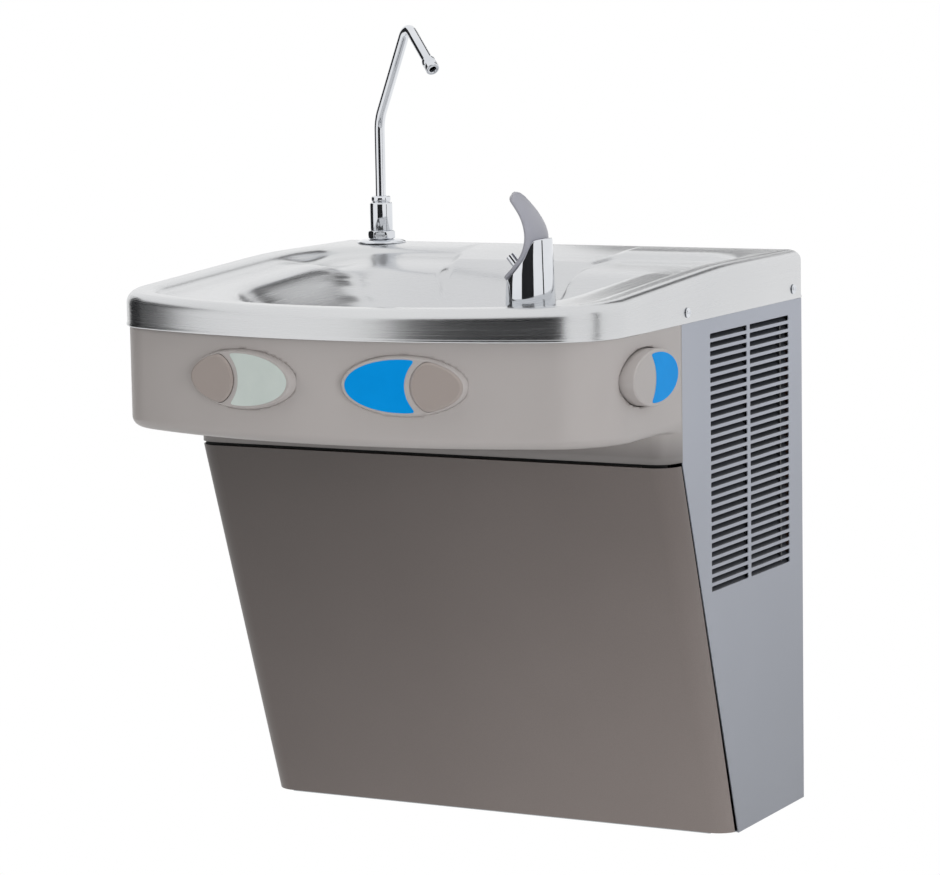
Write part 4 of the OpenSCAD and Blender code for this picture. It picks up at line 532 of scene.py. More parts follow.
def makeBasin(p):
    # Rings blend from outline to outline; z comes from the rim, shelf, tongue and bowl formulas
    half, depth, rim, foot, shoulder, face, frontR, cornerR, r = pick(
        p, "halfWidth depth rim foot shoulder face frontR cornerR rimWidth")
    deck, e, recessR, recessC, edge, lip = pick(
        p, "deck recessIn recessRearR recessCornerR shelfEdge lip")
    wide, tip, end, drop = pick(p, "tongueHalf tongueTip tongueEnd tongueDrop")

    def rimRing(e):
        # The outer outline moved inwards by e
        return wholeOutline(half - e, e, depth - e, max(p["rearR"] - e, 1), cornerR - e,
                            frontR - e, wide)

    def rimZ(y):
        # Level, then falling forwards, with a soft bend ln(1 + e^d) between both
        d = np.clip((-y - p["fallStart"]) / p["fallSoft"], -40, 40)
        return rim - p["fall"] * p["fallSoft"] * np.log1p(np.exp(d))

    def shelfZ(y):
        # The rear shelves fall straight from the deck to the bowl's rear edge
        return rim - p["shelfStep"] - p["shelfDrop"] * share(-y, deck + e, edge)

    def deckZ(y):
        # Further forwards the ledge rises to a fixed depth under the rim
        return mix(shelfZ(y), rimZ(y) - p["recess"], share(-y, edge, edge + p["deckRun"]))

    def onTongue(x, y):
        # 1 on the tongue and 0 beside it, with soft flanks
        side = np.abs(x) - mix(wide, tip, share(-y, deck, end))
        return (1 - ramp(side, -p["tongueSoft"], p["tongueSoft"])) * (-y < p["tongueFar"])

    f = frontR - r
    recessTop = wholeOutline(half - r, deck, depth - r, recessR, recessC, f, wide)
    recessFoot = wholeOutline(half - r - e, deck + e, depth - r - e, recessR - e, recessC - e,
                              f - e, wide)
    bowl = np.array(pick(p, "bowlHalf shelfEdge bowlFront bowlRear bowlCorner"))
    bowlRing = wholeOutline(*bowl, f, tip)
    bowl[1] = end - 1 - lip
    shelfRing = wholeOutline(*(bowl + lip), f, tip)
    steps = [(rimRing(e), foot + z) for e, z in p["hem"]]
    skirt, start = rimRing(face), foot + p["hem"][-1][1]
    steps += [(skirt, mix(start, rimZ(skirt[:, 1]) - shoulder, t))
              for t in np.linspace(0, 1, p["skirtRows"] + 1)[1:]]
    for a in arc(0, 90, p["shoulderRows"], True)[1:]:
        q = rimRing(face + (shoulder - face) * (1 - math.cos(a)))
        steps.append((q, rimZ(q[:, 1]) - shoulder * (1 - math.sin(a))))
    crest, crestRow = rimRing(shoulder), len(steps)
    outlines = (crest, recessTop, recessFoot, shelfRing, bowlRing)
    for kind, (a, b, n) in enumerate(zip(outlines, outlines[1:], p["rows"])):
        for t in np.linspace(0, 1, n + 1)[1:]:
            q = mix(a, b, t)
            x, y = q[:, 0], q[:, 1]
            level = (rimZ(y), mix(rimZ(y), deckZ(y), t), deckZ(y),
                     deckZ(y) - p["lipDrop"] * t * ramp(-y, p["lipFrom"], p["lipFull"]))[kind]
            tongue = rim - drop * share(-y, p["tongueStart"], end)
            if kind == 3:
                tongue = mix(rim - drop, shelfZ(y) - p["tongueFoot"], t * t * (2 - t))
            steps.append((q, mix(level, tongue, onTongue(x, y))))
    bowlRow, edgeZ, centre = len(steps), steps[-1][1], np.array([0, -p["drainY"]])
    drainRing = centre + unit(bowlRing - centre) * p["drainR"]
    for s in np.linspace(0, 1, p["bowlRows"])[1:] ** p["crowd"]:
        z = mix(edgeZ, p["drainZ"], 1 - (1 - s) ** p["power"])
        steps.append((mix(bowlRing, drainRing, s), z))
    # Soft drawn edges: passes down the rows, more near the bowl's lip, then round its rings
    grid = settleRows(stack(steps), crestRow, len(steps) - 2, p["edgePasses"])
    grid = settleRows(grid, bowlRow - p["lipRows"], len(steps) - 8, p["lipPasses"])
    grid[crestRow + 2:-2] = settleRound(grid[crestRow + 2:-2], p["crestRounds"], 1)
    for first, passes in p["bowlRounds"]:
        grid[bowlRow + first:-3] = settleRound(grid[bowlRow + first:-3], passes, 1)
    grid[-1, :, 2] = p["drainZ"]
    return addWall(ringPiece("basinSheet", grid), p["sheet"])


finishPiece(makeBasin(basin), "basin")
print("basin made")

# Apron: stations round the bulge, each with its partner on the neck, with oval openings
apron = dict(half=229, seam=258, top=462.0, under=365, sag=2, lowR=9, neckZ=337, neckR=4,
             neckX=229, neckY=281.6, neckCorner=20, neckStart=0.06, frontR=499.7, cornerR=63,
             centreY=42.2, wall=3.0, buttonZ=416, plateX=74.5, plateL=106, plateH=49, plateGap=0.2,
             sideY=332, sideL=88, sideH=46, sideGap=1, counts=(34, 34, 74), marks=(0, 4, 12, 21),
             wallRows=34, footRows=10, hollowRows=6, onEdge=1.0005, merge=0.02)


def bulgeAt(p):
    # Outline points and their share (0 at the seam, 1 in the middle of the front)
    n, marks = p["counts"], p["marks"]
    pts = frontOutline(p["half"], -p["seam"], p["cornerR"], p["frontR"], p["centreY"], n)
    shares = [np.linspace(marks[k], marks[k + 1], n[k], endpoint=k == 2) for k in range(3)]
    return pts, np.concatenate(shares) / marks[3]


def neckAt(p, part):
    # Distance along the neck: a quarter circle from the seam, then straight to the middle
    r, x, soft = pick(p, "neckCorner neckX neckStart")
    run = part * (r * np.pi / 2 + x - r)
    a = -np.minimum(run / r, np.pi / 2)
    straight = np.maximum(run - r * np.pi / 2, 0)
    pts = np.c_[x - r + r * np.cos(a) - straight, -p["neckY"] + r + r * np.sin(a)]
    start = (1 - ramp(part, 0.0, soft)) * (part < soft)
    return mix(pts, np.array([x, -p["seam"]]), start[:, None])


def makeApron(p):
    # Column by column: straight wall, round lower edge, underside to the neck, hollow round, neck
    under, lowR, neckR, buttonZ, gapX, gapY = pick(p, "under lowR neckR buttonZ plateGap sideGap")
    pts, part = bulgeAt(p)
    pts, neck = (np.r_[h, h[-2::-1] * [-1, 1]] for h in (pts, neckAt(p, part)))
    gap = neck - pts
    d = np.linalg.norm(gap, axis=1, keepdims=True)
    go = gap / np.maximum(d, 1e-6) * (d > 1)
    r, f, end = np.minimum(lowR, d / 3), np.minimum(neckR, d / 3), under - p["sag"]
    foot = [(pts + go * r * (1 - math.cos(a)), under + lowR * (1 - math.sin(a)))
            for a in arc(0, 90, p["footRows"], True)[1:]]
    foot = stack(foot)
    inner = stack([(neck - go * f, end)])
    flat = np.concatenate([mix(foot[-1:], inner, t) for t in (0.25, 0.5, 0.75)])
    hollow = [(neck - go * f * (1 - math.sin(a)), end - neckR * (1 - math.cos(a)))
              for a in arc(0, 90, p["hollowRows"], True)]
    hollow += [(neck, mix(end - neckR, p["neckZ"], t)) for t in (0.35, 0.7, 1)]
    # Openings: the inside points next to the edge move out to the oval, and the faces within go
    length, wallZ = runLength(pts), np.linspace(p["top"], under + lowR, p["wallRows"])
    s, z = np.meshgrid(length, wallZ)
    middle, reach = length[-1] / 2, p["frontR"] * math.asin(p["plateX"] / p["frontR"])
    front = p["plateL"] / 2 + gapX, p["plateH"] / 2 + gapX
    openings = ((middle + reach, *front), (middle - reach, *front),
                (p["sideY"] - p["seam"], p["sideL"] / 2 + gapY, p["sideH"] / 2 + gapY))
    for at, a, b in openings:
        q = np.hypot((s - at) / a, (z - buttonZ) / b)
        deep = q < 1
        for axis in (0, 1):
            deep &= np.roll(deep, 1, axis) & np.roll(deep, -1, axis)
        move = (q < 1) & ~deep
        s[move] = at + (s[move] - at) / q[move]
        z[move] = buttonZ + (z[move] - buttonZ) / q[move]
    straight = np.stack([np.interp(s, length, pts[:, 0]), np.interp(s, length, pts[:, 1]), z], -1)
    grid = np.r_[straight, foot, flat, stack(hollow)]
    gone = np.zeros(grid.shape[:2], bool)
    for at, a, b in openings:
        gone[:len(wallZ)] |= np.hypot((s - at) / a, (z - buttonZ) / b) < p["onEdge"]
    faces = gridFaces(*gone.shape, False)
    faces = faces[~gone.ravel()[faces].all(1)]
    obj = meshPiece("apronShell", grid.reshape(-1, 3), faces, lengthUv(grid, False))
    return addWall(tidyMesh(obj, p["merge"], turn=False), p["wall"])


finishPiece(makeApron(apron), "apron")
print("apron made")


# Plates, push discs and labels, in the places' own frames: local Z out of the apron, local Y up
def frontPlace(p, side):
    # On the front arc, turned about its centre by asin(plateX / frontR)
    turn = side * math.asin(p["plateX"] / p["frontR"])
    return (Matrix.Translation((0, p["centreY"], p["buttonZ"])) @ Matrix.Rotation(turn, 4, "Z")
            @ Matrix.Translation((0, -p["frontR"], 0)) @ Matrix.Rotation(math.pi / 2, 4, "X"))


def outwards(x, y, z, s=1):
    # Local Z along frame X, or against it with s = -1, and local Y up
    turned = Matrix(((0, 0, s), (s, 0, 0), (0, 1, 0))).to_4x4()
    return Matrix.Translation((s * x, y, z)) @ turned


def sidePlace(p):
    return outwards(p["half"], -p["sideY"], p["buttonZ"])


plate = dict(a=53, b=24.5, out=5.0, back=-6.2, rimGap=2.0, discAt=28, discR=21.4, discOpen=30,
             discSoft=0.9, discOut=2.0, discT=3.0, gap=0.5, stemR=8.0, stemGap=0.05, stemL=22.0,
             guideR=11, guideL=27, flangeT=2.5, flangeOut=3, travel=3.0, under=0.3, film=0.4,
             labelEdge=3.6, labelR=26.5, labelTall=0.6, labelSoft=14, turns=120)


def ovalReach(p, side, e):
    # Distance from the disc's middle to the plate's outline, moved in by e, in every direction
    c, s = circle(0, 1, p["turns"]).T
    a, b, off = p["a"] - e, p["b"] - e, side * p["discAt"]
    qa, qb, qc = (c / a) ** 2 + (s / b) ** 2, 2 * off * c / a ** 2, off ** 2 / a ** 2 - 1
    return (-qb + np.sqrt(qb ** 2 - 4 * qa * qc)) / (2 * qa)


def discLoop(p, side, e=0.0):
    # The disc's circle, opened outwards and softly cut by the plate's inner oval, moved in by e
    toOval, k = ovalReach(p, side, p["rimGap"]), p["discSoft"]
    out = circle(0, 1, p["turns"])[:, 0] * side
    toCircle = p["discR"] + p["discOpen"] * ramp(out, 0.2, 0.55)
    r = -np.log(np.exp(-toOval / k) + np.exp(-toCircle / k)) * k - e
    return circle(side * p["discAt"], r, p["turns"])


def makePlate(p, side, name):
    # The guide behind, the flange, the oval edge and bevel, the face, the disc's pocket, its bore
    off, n = side * p["discAt"], p["turns"]
    out, back, low, flangeT, edge = pick(p, "out back guideL flangeT flangeOut")

    def oval(e):
        # The plate's outline moved inwards by e
        return circle(off, ovalReach(p, side, e), n)

    pocket, hub = discLoop(p, side, -p["gap"]), circle(off, 1, n)
    guide, bore = circle(off, p["guideR"], n), circle(off, p["stemR"] + p["stemGap"], n)
    wall, flange, rim = mix(pocket, hub, 0.006), oval(-edge), oval(0)
    floor = out + p["discOut"] - p["discT"] - p["travel"] - p["under"]
    steps = [(bore, -low), (guide, -low), (guide, back - flangeT), (flange, back - flangeT),
             (flange, back), (rim, back), (rim, out - 3.4), (oval(0.12), out - 3.0)]
    steps += [(oval(0.3 + 1.2 * t), out - 2.7 + 2.5 * t ** 0.8) for t in np.linspace(0, 1, 5)]
    steps.append((oval(1.75), out - 0.04))
    steps += [(mix(oval(1.95), pocket, t), out) for t in (0.0, 0.04, 0.5, 0.96)]
    steps += [(pocket, out - 0.05), (wall, out - 0.35), (wall, floor + 0.05),
              (mix(pocket, hub, 0.01), floor), (bore, floor), (bore, -low)]
    return ringPiece(name, stack(steps, frontPlace(apron, side)), merge=0.001)


def makeDisc(p, side, name):
    # The stem, the disc's back, its edge and a bevelled face
    off, n, top = side * p["discAt"], p["turns"], p["out"] + p["discOut"]
    loop, hub, stem = discLoop(p, side), circle(off, 1, n), circle(off, p["stemR"], n)
    back = top - p["discT"]
    steps = [(stem, -p["stemL"]), (stem, back), (loop, back), (loop, top - 1.5)]
    steps += [(mix(loop, hub, 0.004 + 0.075 * t), top - 1.4 + 1.25 * t) for t in (0, 0.33, 0.66, 1)]
    steps += [(mix(loop, hub, 0.092), top - 0.05), (mix(loop, hub, 0.11), top)]
    return ringPiece(name, stack(steps, frontPlace(apron, side)), True)


def labelLoop(p, n=160):
    # The oval less a circle round the disc's middle, evenly spaced, its sharp ends softened
    a, b, edge, r, tall = pick(p, "a b labelEdge labelR labelTall")
    t = np.linspace(-1, 1, 400)
    x, y = (a - edge) * np.cos(np.arcsin(t)), (b - edge + tall) * t
    near = p["discAt"] - np.sqrt(np.clip(r ** 2 - y ** 2, 0, None))
    loop = np.r_[np.c_[-x, y], np.c_[np.minimum(near, x), y][::-1]]
    loop = np.r_[loop, loop[:1]]
    d = runLength(loop)
    at = np.linspace(0, d[-1], n, endpoint=False)
    even = np.stack([np.interp(at, d, loop[:, k]) for k in (0, 1)], -1)
    return settleRound(even, p["labelSoft"])


def makeLabel(p, side, place, name):
    # A thin film with a soft edge, concave towards the disc
    loop = labelLoop(p)[::-1] if side > 0 else labelLoop(p) * [-1, 1]
    z, t = p["out"], p["film"]
    steps = insetSteps(loop, [(0, z), (0, z + t * 0.6), (0.12, z + t * 0.9), (0.35, z + t)])
    return ringPiece(name, stack(steps, place), True)


for side, word in ((-1, "left"), (1, "centre")):
    bezelNode, discNode, labelNode = (word + end for end in ("_bezel", "_button", "_label"))
    finishPiece(makePlate(plate, side, bezelNode + "_plate"), bezelNode)
    finishPiece(makeDisc(plate, side, discNode + "_disc"), discNode, material=finishes["disc"])
    finishPiece(makeLabel(plate, side, frontPlace(apron, side), labelNode + "_film"), labelNode)
print("front plates made")

# The oval side button: tall edge, narrow light bevel, flat face
sideButton = dict(plate, a=44, b=23, out=11.5, back=-2.9, bevel=1.4, chamfer=0.6, discAt=26,
                  labelR=24.5, labelEdge=3.2)


def makeSideButton(p):
    # An ellipse, inset step by step over the height, on a round stem
    n, out, back, bevel, c = pick(p, "turns out back bevel chamfer")
    loop, stem = circle(0, 1, n) * [p["a"], p["b"]], circle(0, p["stemR"], n)
    steps = [(stem, -p["stemL"]), (stem, back)]
    steps += insetSteps(loop, [(c, back), (0, back + c), (0, out * 0.5), (0, out - 1.5),
                               *roundSteps(bevel, out, 7), (bevel + 0.6, out)])
    return ringPiece("side_button_cap", stack(steps, sidePlace(apron)), True)


finishPiece(makeSideButton(sideButton), "side_button")
finishPiece(makeLabel(sideButton, -1, sidePlace(apron), "side_label_film"), "side_label")
print("side button made")

# Bubbler: a turned body cut by a slope, its nozzle and the moulded mouth guard
bubbler = dict(x=147.0, y=-370.0, foot=475.1, r=20.5, lip=1.4, shankR=9, shankL=38,
               topX=(-20.5, -11.6, -2.3, 4.4, 8.4, 11, 20.5), topZ=(17, 23, 31, 39.5, 48, 53, 54.5),
               deckFall=0.0605, deckGap=0.3, taper=0.0021, soft=60, turns=128)
bubblerPlace = Matrix.Translation((bubbler["x"], bubbler["y"], bubbler["foot"]))


def makeBubblerBody(p):
    # Wall from the sloping ledge up to the curve of the cut, a round lip, then the cut face
    n, r = p["turns"], p["r"]
    x, y = circle(0, r, n).T
    fineX = np.linspace(-r, r, 200)
    fineZ = settleRows(np.interp(fineX, p["topX"], p["topZ"]), 1, 199, p["soft"])
    k = np.interp(x, fineX, np.gradient(fineZ, fineX))
    top = np.c_[x, y, np.interp(x, fineX, fineZ)]
    ledge = p["deckGap"] + p["deckFall"] * y
    steps = [(circle(0, p["shankR"], n), z) for z in (-p["shankL"], -0.6)]
    steps += [(circle(0, q, n), ledge * (q / r) + z)
              for q, z in ((r - 0.8, 0), (r - 0.25, 0.15), (r, 0.8))]
    rings = list(stack(steps))
    # The fillet leans with the slope: its bite is lip tan(half the angle between wall and face)
    angle = np.arccos(np.clip(-k * x / r / np.sqrt(1 + k * k), -1, 1))
    bite = (p["lip"] * np.tan(angle / 2))[:, None]
    start = top - bite * [0, 0, 1]
    rings += [mix(rings[-1], start, s) for s in (0.25, 0.5, 0.75, 1.0)]
    end = top + unit(-np.c_[x, y, x * k]) * bite
    rings += [(1 - s) ** 2 * start + 2 * s * (1 - s) * top + s * s * end
              for s in np.linspace(0, 1, 8)[1:]]
    for s in (0.06, 0.5, 0.95):
        q = mix(end, np.zeros((1, 3)), s)
        q[:, 2] = np.minimum(np.interp(q[:, 0], fineX, fineZ), mix(end[:, 2], 60, s))
        rings.append(q)
    rings = np.array(rings)
    rings[..., :2] *= 1 - p["taper"] * np.clip(rings[..., 2:], 0, None)
    return ringPiece("bubbler_body_shell", placed(rings, bubblerPlace), True)


finishPiece(makeBubblerBody(bubbler), "bubbler_body")

# Mouth guard: the near edge of its hollow side from the tip down to the lip, and its width there
guard = dict(edgeX=(-16.6, -9.3, -2.2, 1.8, 4.4, 3.5, 0.2, -5.8, -14.9, -22.2),
             edgeZ=(87.9, 79.4, 71.7, 63.4, 55.8, 49.2, 41.9, 34.4, 26.7, 21.7),
             widths=(22, 27, 31, 36, 41, 42, 41, 38, 32, 22),
             thick=5.0, crown=1.8, ends=7.0, soft=24, turns=56)


def makeGuard(p):
    # A rounded strip along the line: section (w/2) cos^0.45, (t/2) sin^0.8, crowned, ends rounded
    line = np.c_[p["edgeX"], p["edgeZ"], p["widths"]].astype(float)
    d, ends = runLength(line[:, :2]), p["ends"]
    tips = np.linspace(0, ends, 10) ** 2 / ends
    at = np.unique(np.r_[tips, np.linspace(ends, d[-1] - ends, 44), d[-1] - tips])
    q = np.stack([np.interp(at, d, line[:, k]) for k in range(3)], -1)
    q = settleRows(q, 1, len(q) - 1, p["soft"])
    go = unit(np.gradient(q[:, :2], axis=0))
    out = np.c_[-go[:, 1], go[:, 0]]

    def rounded(r, least):
        # Circle-like growth from both ends over the length r: sqrt(1 - (1 - d/r)^2)
        near = np.minimum(np.minimum(at, d[-1] - at) / r, 1)
        return np.sqrt(np.clip(1 - (1 - near) ** 2, least, 1))[:, None]

    half = p["thick"] / 2
    c, h = (np.sign(v) * np.abs(v) ** e for v, e in zip(circle(0, 1, p["turns"]).T, (0.45, 0.8)))
    y = q[:, 2:] / 2 * rounded(ends, 0.02) * c
    lift = half * (1 + rounded(half, 0.05) * h) + p["crown"] * (1 - c ** 2)
    rings = np.stack([q[:, :1] + out[:, :1] * lift, y, q[:, 1:2] + out[:, 1:] * lift], -1)
    return ringPiece("mouth_guard_hood", placed(rings, bubblerPlace), True)


finishPiece(makeGuard(guard), "mouth_guard")
print("bubbler made")

# Filler: flange, chamfered nut, turned body, bent tube and its ferrule
spout = dict(x=-178.0, y=-28.0, z=494.0, turn=-36.8699, flangeR=22.5, flangeT=3.0, nutR=12.5,
             nutH=8.0, bodyR=10.5, bodyH=26.0, collarR=9.0, collarH=6.0, shankR=6.0, shankL=40,
             shankGap=0.3, socket=16.0, tubeR=4.75, tubeWall=1.0, rise=70.0, lean=66.0, leanH=88.0,
             fall=48.0, fallH=36.0, bends=(30.0, 13.0), tipR=6.2, tipL=13.0, groove=0.35, holeR=3.2,
             turns=96, tubeTurns=40, tipTurns=64, straight=8, bent=26)
spoutPlace = (Matrix.Translation((spout["x"], spout["y"], spout["z"]))
              @ Matrix.Rotation(math.radians(spout["turn"]), 4, "Z"))


def makeNut(name, r, h, bore, place, turns=144):
    # Radius of a hexagon, apothem / cos(t mod 60 - 30), cut by a cone near both ends
    t = np.linspace(0, 2 * np.pi, turns, endpoint=False)
    low = r * math.cos(math.pi / 6)
    hexR = low / np.cos(np.mod(t, np.pi / 3) - np.pi / 6)
    cone = [(0, low - 0.3), (0.25, low + 0.1), (0.7, low + 0.9), (1.3, r)]
    cone += [(h / 2, r)] + [(h - z, q) for z, q in reversed(cone)]
    steps = [(circle(0, np.minimum(hexR, q), turns), z) for z, q in cone]
    steps += [(circle(0, q, turns), z)
              for q, z in ((bore + 0.4, h), (bore, h - 0.4), (bore, 0.2), (bore + 0.2, 0))]
    return ringPiece(name, stack(steps + steps[:1], place), merge=0.001)


def makeSpout(p):
    # Profiles of radius and height turned about an axis, and a circle carried along a bent path
    hole, shank, flange, body, collar = pick(p, "holeR shankR flangeR bodyR collarR")
    inner, tube = shank + p["shankGap"], p["tubeR"]
    profile = [(inner, 0), (flange, 0), (flange, 0.5), (flange - 0.2, 0.95), (flange - 0.8, 1.3),
               (flange - 2.0, 1.9), (flange - 4.0, 2.6), (flange - 6.5, 2.95), (p["nutR"] + 1, 3.0),
               (inner, 3.0), (inner, 0)]
    finishPiece(revolve("spout_flange_plate", profile, spoutPlace, p["turns"]), "spout_flange")
    above = spoutPlace @ Matrix.Translation((0, 0, p["flangeT"]))
    finishPiece(makeNut("spout_nut_hex", p["nutR"], p["nutH"], inner, above), "spout_nut")
    foot = p["flangeT"] + p["nutH"]
    top = foot + p["bodyH"]
    end, bore = top + p["collarH"], tube + 0.05
    floor = end - p["socket"]
    profile = [(hole, -p["shankL"]), (shank, -p["shankL"]), (shank, foot), (body - 0.8, foot),
               (body - 0.2, foot + 0.25), (body, foot + 0.8), (body, top - 1.6),
               (body - 0.3, top - 0.7), (body - 1.0, top - 0.1), (collar - 0.9, top + 0.25),
               (collar - 0.9, top + 0.8), (collar - 0.2, top + 1.2), (collar, top + 1.8),
               (collar, end - 1.8), (collar - 0.4, end - 0.8), (collar - 1.4, end - 0.15),
               (collar - 2.2, end), (bore, end), (bore, floor), (hole, floor), (hole, -p["shankL"])]
    finishPiece(revolve("spout_body_turned", profile, spoutPlace, p["turns"]), "spout_body")
    bend = end + p["rise"]
    apex = np.array([p["lean"], 0, bend + p["leanH"]])
    tip = apex + [p["fall"], 0, -p["fallH"]]
    path = bentPath([(0, 0, floor + 0.3), (0, 0, bend), apex, tip], p["bends"], p["straight"],
                    p["bent"])
    outer, lining = (sweep(path, r, p["tubeTurns"]) for r in (tube, tube - p["tubeWall"]))
    rings = np.r_[outer, lining[::-1], outer[:1]]
    finishPiece(ringPiece("spout_tube_bent", placed(rings, spoutPlace), merge=0.001), "spout_tube")
    go = unit(tip - apex)
    half, full, r, bore = p["tipL"] / 2, p["tipL"], p["tipR"], tube + 0.02
    place = (spoutPlace @ Matrix.Translation(Vector(tip - go * half))
             @ Vector(go).to_track_quat("Z", "Y").to_matrix().to_4x4())
    profile = [(bore, 0), (r - 0.7, 0), (r - 0.15, 0.25), (r, 0.9), (r, half - 0.9),
               (r - p["groove"], half - 0.5), (r - p["groove"], half + 0.1), (r, half + 0.5),
               (r, full - 0.9), (r - 0.2, full - 0.25), (r - 0.8, full), (hole + 0.5, full),
               (hole, full - 0.5), (hole, half), (bore, half), (bore, 0)]
    finishPiece(revolve("spout_tip_ferrule", profile, place, p["tipTurns"]), "spout_tip")


makeSpout(spout)
print("filler made")

# Side panels: one sheet with rounded slots, and a pressed blade behind each slot, the blades dark
# as painted shade for the shadow in the slots
louvre = dict(rows=30, high=4.5, pitch=7.39, top=438.0, frontLen=78.1, rearLen=86.2, rearY=29.9,
              bar=6.2, corner=1.1, outer=229.0, sheet=1.0, edge=0.12, head=258.0, foot=148.0,
              neck=335.0, tab=13.0, tabTop=471.0, low=450.7, bladeIn=5.0, bladeRise=4.2, bladeR=1.2,
              bladeTurn=60, bladeT=0.6, bladeDrop=0.5, bladeSide=0.2, bladeGap=0.02)


def slotLoop(y0, y1, z0, z1, r, steps=5):
    # A rectangle with round corners, clockwise, because it is a hole
    a, b, c, d = y0 + r, y1 - r, z0 + r, z1 - r
    corners = ((b, d, 90), (b, c, 0), (a, c, -90), (a, d, 180))
    turns = [(y, z, arc(t, t - 90, steps, True)) for y, z, t in corners]
    return np.concatenate([np.c_[y + r * np.cos(t), z + r * np.sin(t)] for y, z, t in turns])


def makeSheet(p, side, name, columns):
    # A flat curve with the outline and all the slots, filled, thickened, with a soft pressed edge
    curve = bpy.data.curves.new(name, "CURVE")
    curve.dimensions, curve.fill_mode = "2D", "BOTH"
    edge, low, tab, tabTop, head, high = pick(p, "edge low tab tabTop head high")
    loops = [np.array([(0, 0), (0, low), (-tab, low), (-tab, tabTop), (-head, tabTop),
                       (-head, p["neck"]), (-p["foot"], 0)], float)]
    for i in range(p["rows"]):
        z1 = p["top"] - i * p["pitch"]
        loops += [slotLoop(a, b, z1 - high, z1, p["corner"]) for a, b in columns]
    for loop in loops:
        s = curve.splines.new("POLY")
        s.points.add(len(loop) - 1)
        s.points.foreach_set("co", np.insert(loop / 1000, [2, 2], [0, 1], axis=1).ravel())
        s.use_cyclic_u = True
    curve.extrude, curve.bevel_depth = p["sheet"] / 2000 - edge / 1000, edge / 1000
    curve.bevel_resolution, curve.offset = 1, -edge / 1000
    flat = linkObject(name, curve)
    bpy.context.view_layer.update()
    depsgraph = bpy.context.evaluated_depsgraph_get()
    mesh = bpy.data.meshes.new_from_object(flat.evaluated_get(depsgraph))
    bpy.data.objects.remove(flat)
    # Curve x becomes frame y, curve y becomes frame z, and the thickness lies along frame x
    co = np.zeros(len(mesh.vertices) * 3)
    mesh.vertices.foreach_get("co", co)
    y, z, t = co.reshape(-1, 3).T
    x = side * (p["outer"] / 1000 - p["sheet"] / 2000) + t
    mesh.vertices.foreach_set("co", np.c_[x, y, z].ravel())
    return tidyMesh(linkObject(name, mesh), 0.002)


def makeBlades(p, side, name, columns):
    # Round from the slot's lower edge, then a flat that rises inwards, closed as a thin wall
    a = arc(0, p["bladeTurn"], 5, True)
    turn = p["bladeR"] * np.c_[np.sin(a), 1 - np.cos(a)]
    line = np.r_[turn, [pick(p, "bladeIn bladeRise")]]
    d = np.gradient(line, axis=0)
    n = np.c_[-d[:, 1], d[:, 0]] / np.linalg.norm(d, axis=1, keepdims=True)
    section = np.r_[line, (line - n * p["bladeT"])[::-1]]
    x = side * (p["outer"] - p["sheet"] - p["bladeGap"] - section[:, 0])
    k, inset = len(section), p["bladeSide"]
    j, verts, quads = np.arange(k), [], []
    for i in range(p["rows"]):
        z = p["top"] - i * p["pitch"] - p["high"] - p["bladeDrop"] + section[:, 1]
        for y0, y1 in columns:
            base = len(verts) * k
            verts += [np.c_[x, np.full(k, y), z] for y in (y0 + inset, y1 - inset)]
            quads.append(base + np.c_[j, (j + 1) % k, k + (j + 1) % k, k + j])
    caps = [list(range(s * k, (s + 1) * k)) for s in range(len(verts))]
    verts, quads = np.concatenate(verts), np.concatenate(quads)
    return tidyMesh(meshPiece(name, verts, quads, None, False, caps))


rearSlots = (-louvre["rearY"] - louvre["rearLen"], -louvre["rearY"])
frontSlots = (rearSlots[0] - louvre["bar"] - louvre["frontLen"], rearSlots[0] - louvre["bar"])
for side, node in ((-1, "left_side_panel"), (1, "right_side_panel")):
    finishPiece(makeSheet(louvre, side, node + "_sheet", (rearSlots, frontSlots)), node)
    finishPiece(makeBlades(louvre, side, node + "_blades", (rearSlots, frontSlots)),
                body="cabinet", slot="side_panel", material=finishes["louvre"])
print("side panels made")

# A dark strip closes the seam over the front panel from behind: painted shade, a black sheet where
# the seam shows only shadow, which also hides the light seen through the case
seamStrip = dict(half=222.0, y=-274.0, low=328.0, high=342.0, thick=1.0)


def makeSeamStrip(p):
    # A flat box of eight corners
    x, y, t = pick(p, "half y thick")
    plan = ((-x, y), (x, y), (x, y + t), (-x, y + t))
    pts = [(*q, z) for z in (p["low"], p["high"]) for q in plan]
    faces = [(0, 1, 5, 4), (1, 2, 6, 5), (2, 3, 7, 6), (3, 0, 4, 7), (0, 3, 2, 1), (4, 5, 6, 7)]
    return meshPiece("panel_seam_shade_strip", pts, faces, None, False)


# The strip's black rubber finish is painted shade for the dark seam gap
finishPiece(makeSeamStrip(seamStrip), body="cabinet", slot="rubber")

# Skirt screws: low domes with a cross recess
screw = dict(r=4.3, h=1.76, skirt=0.35, z=460.0, ys=(-247.0, -19.9), face=230.0, turns=48,
             power=2.6, barWide=(0.08, 0.15), barLong=(0.42, 0.55),
             rings=(1, 1, 0.97, 0.9, 0.8, 0.68, 0.56, 0.46, 0.38, 0.3, 0.22, 0.14, 0.06))


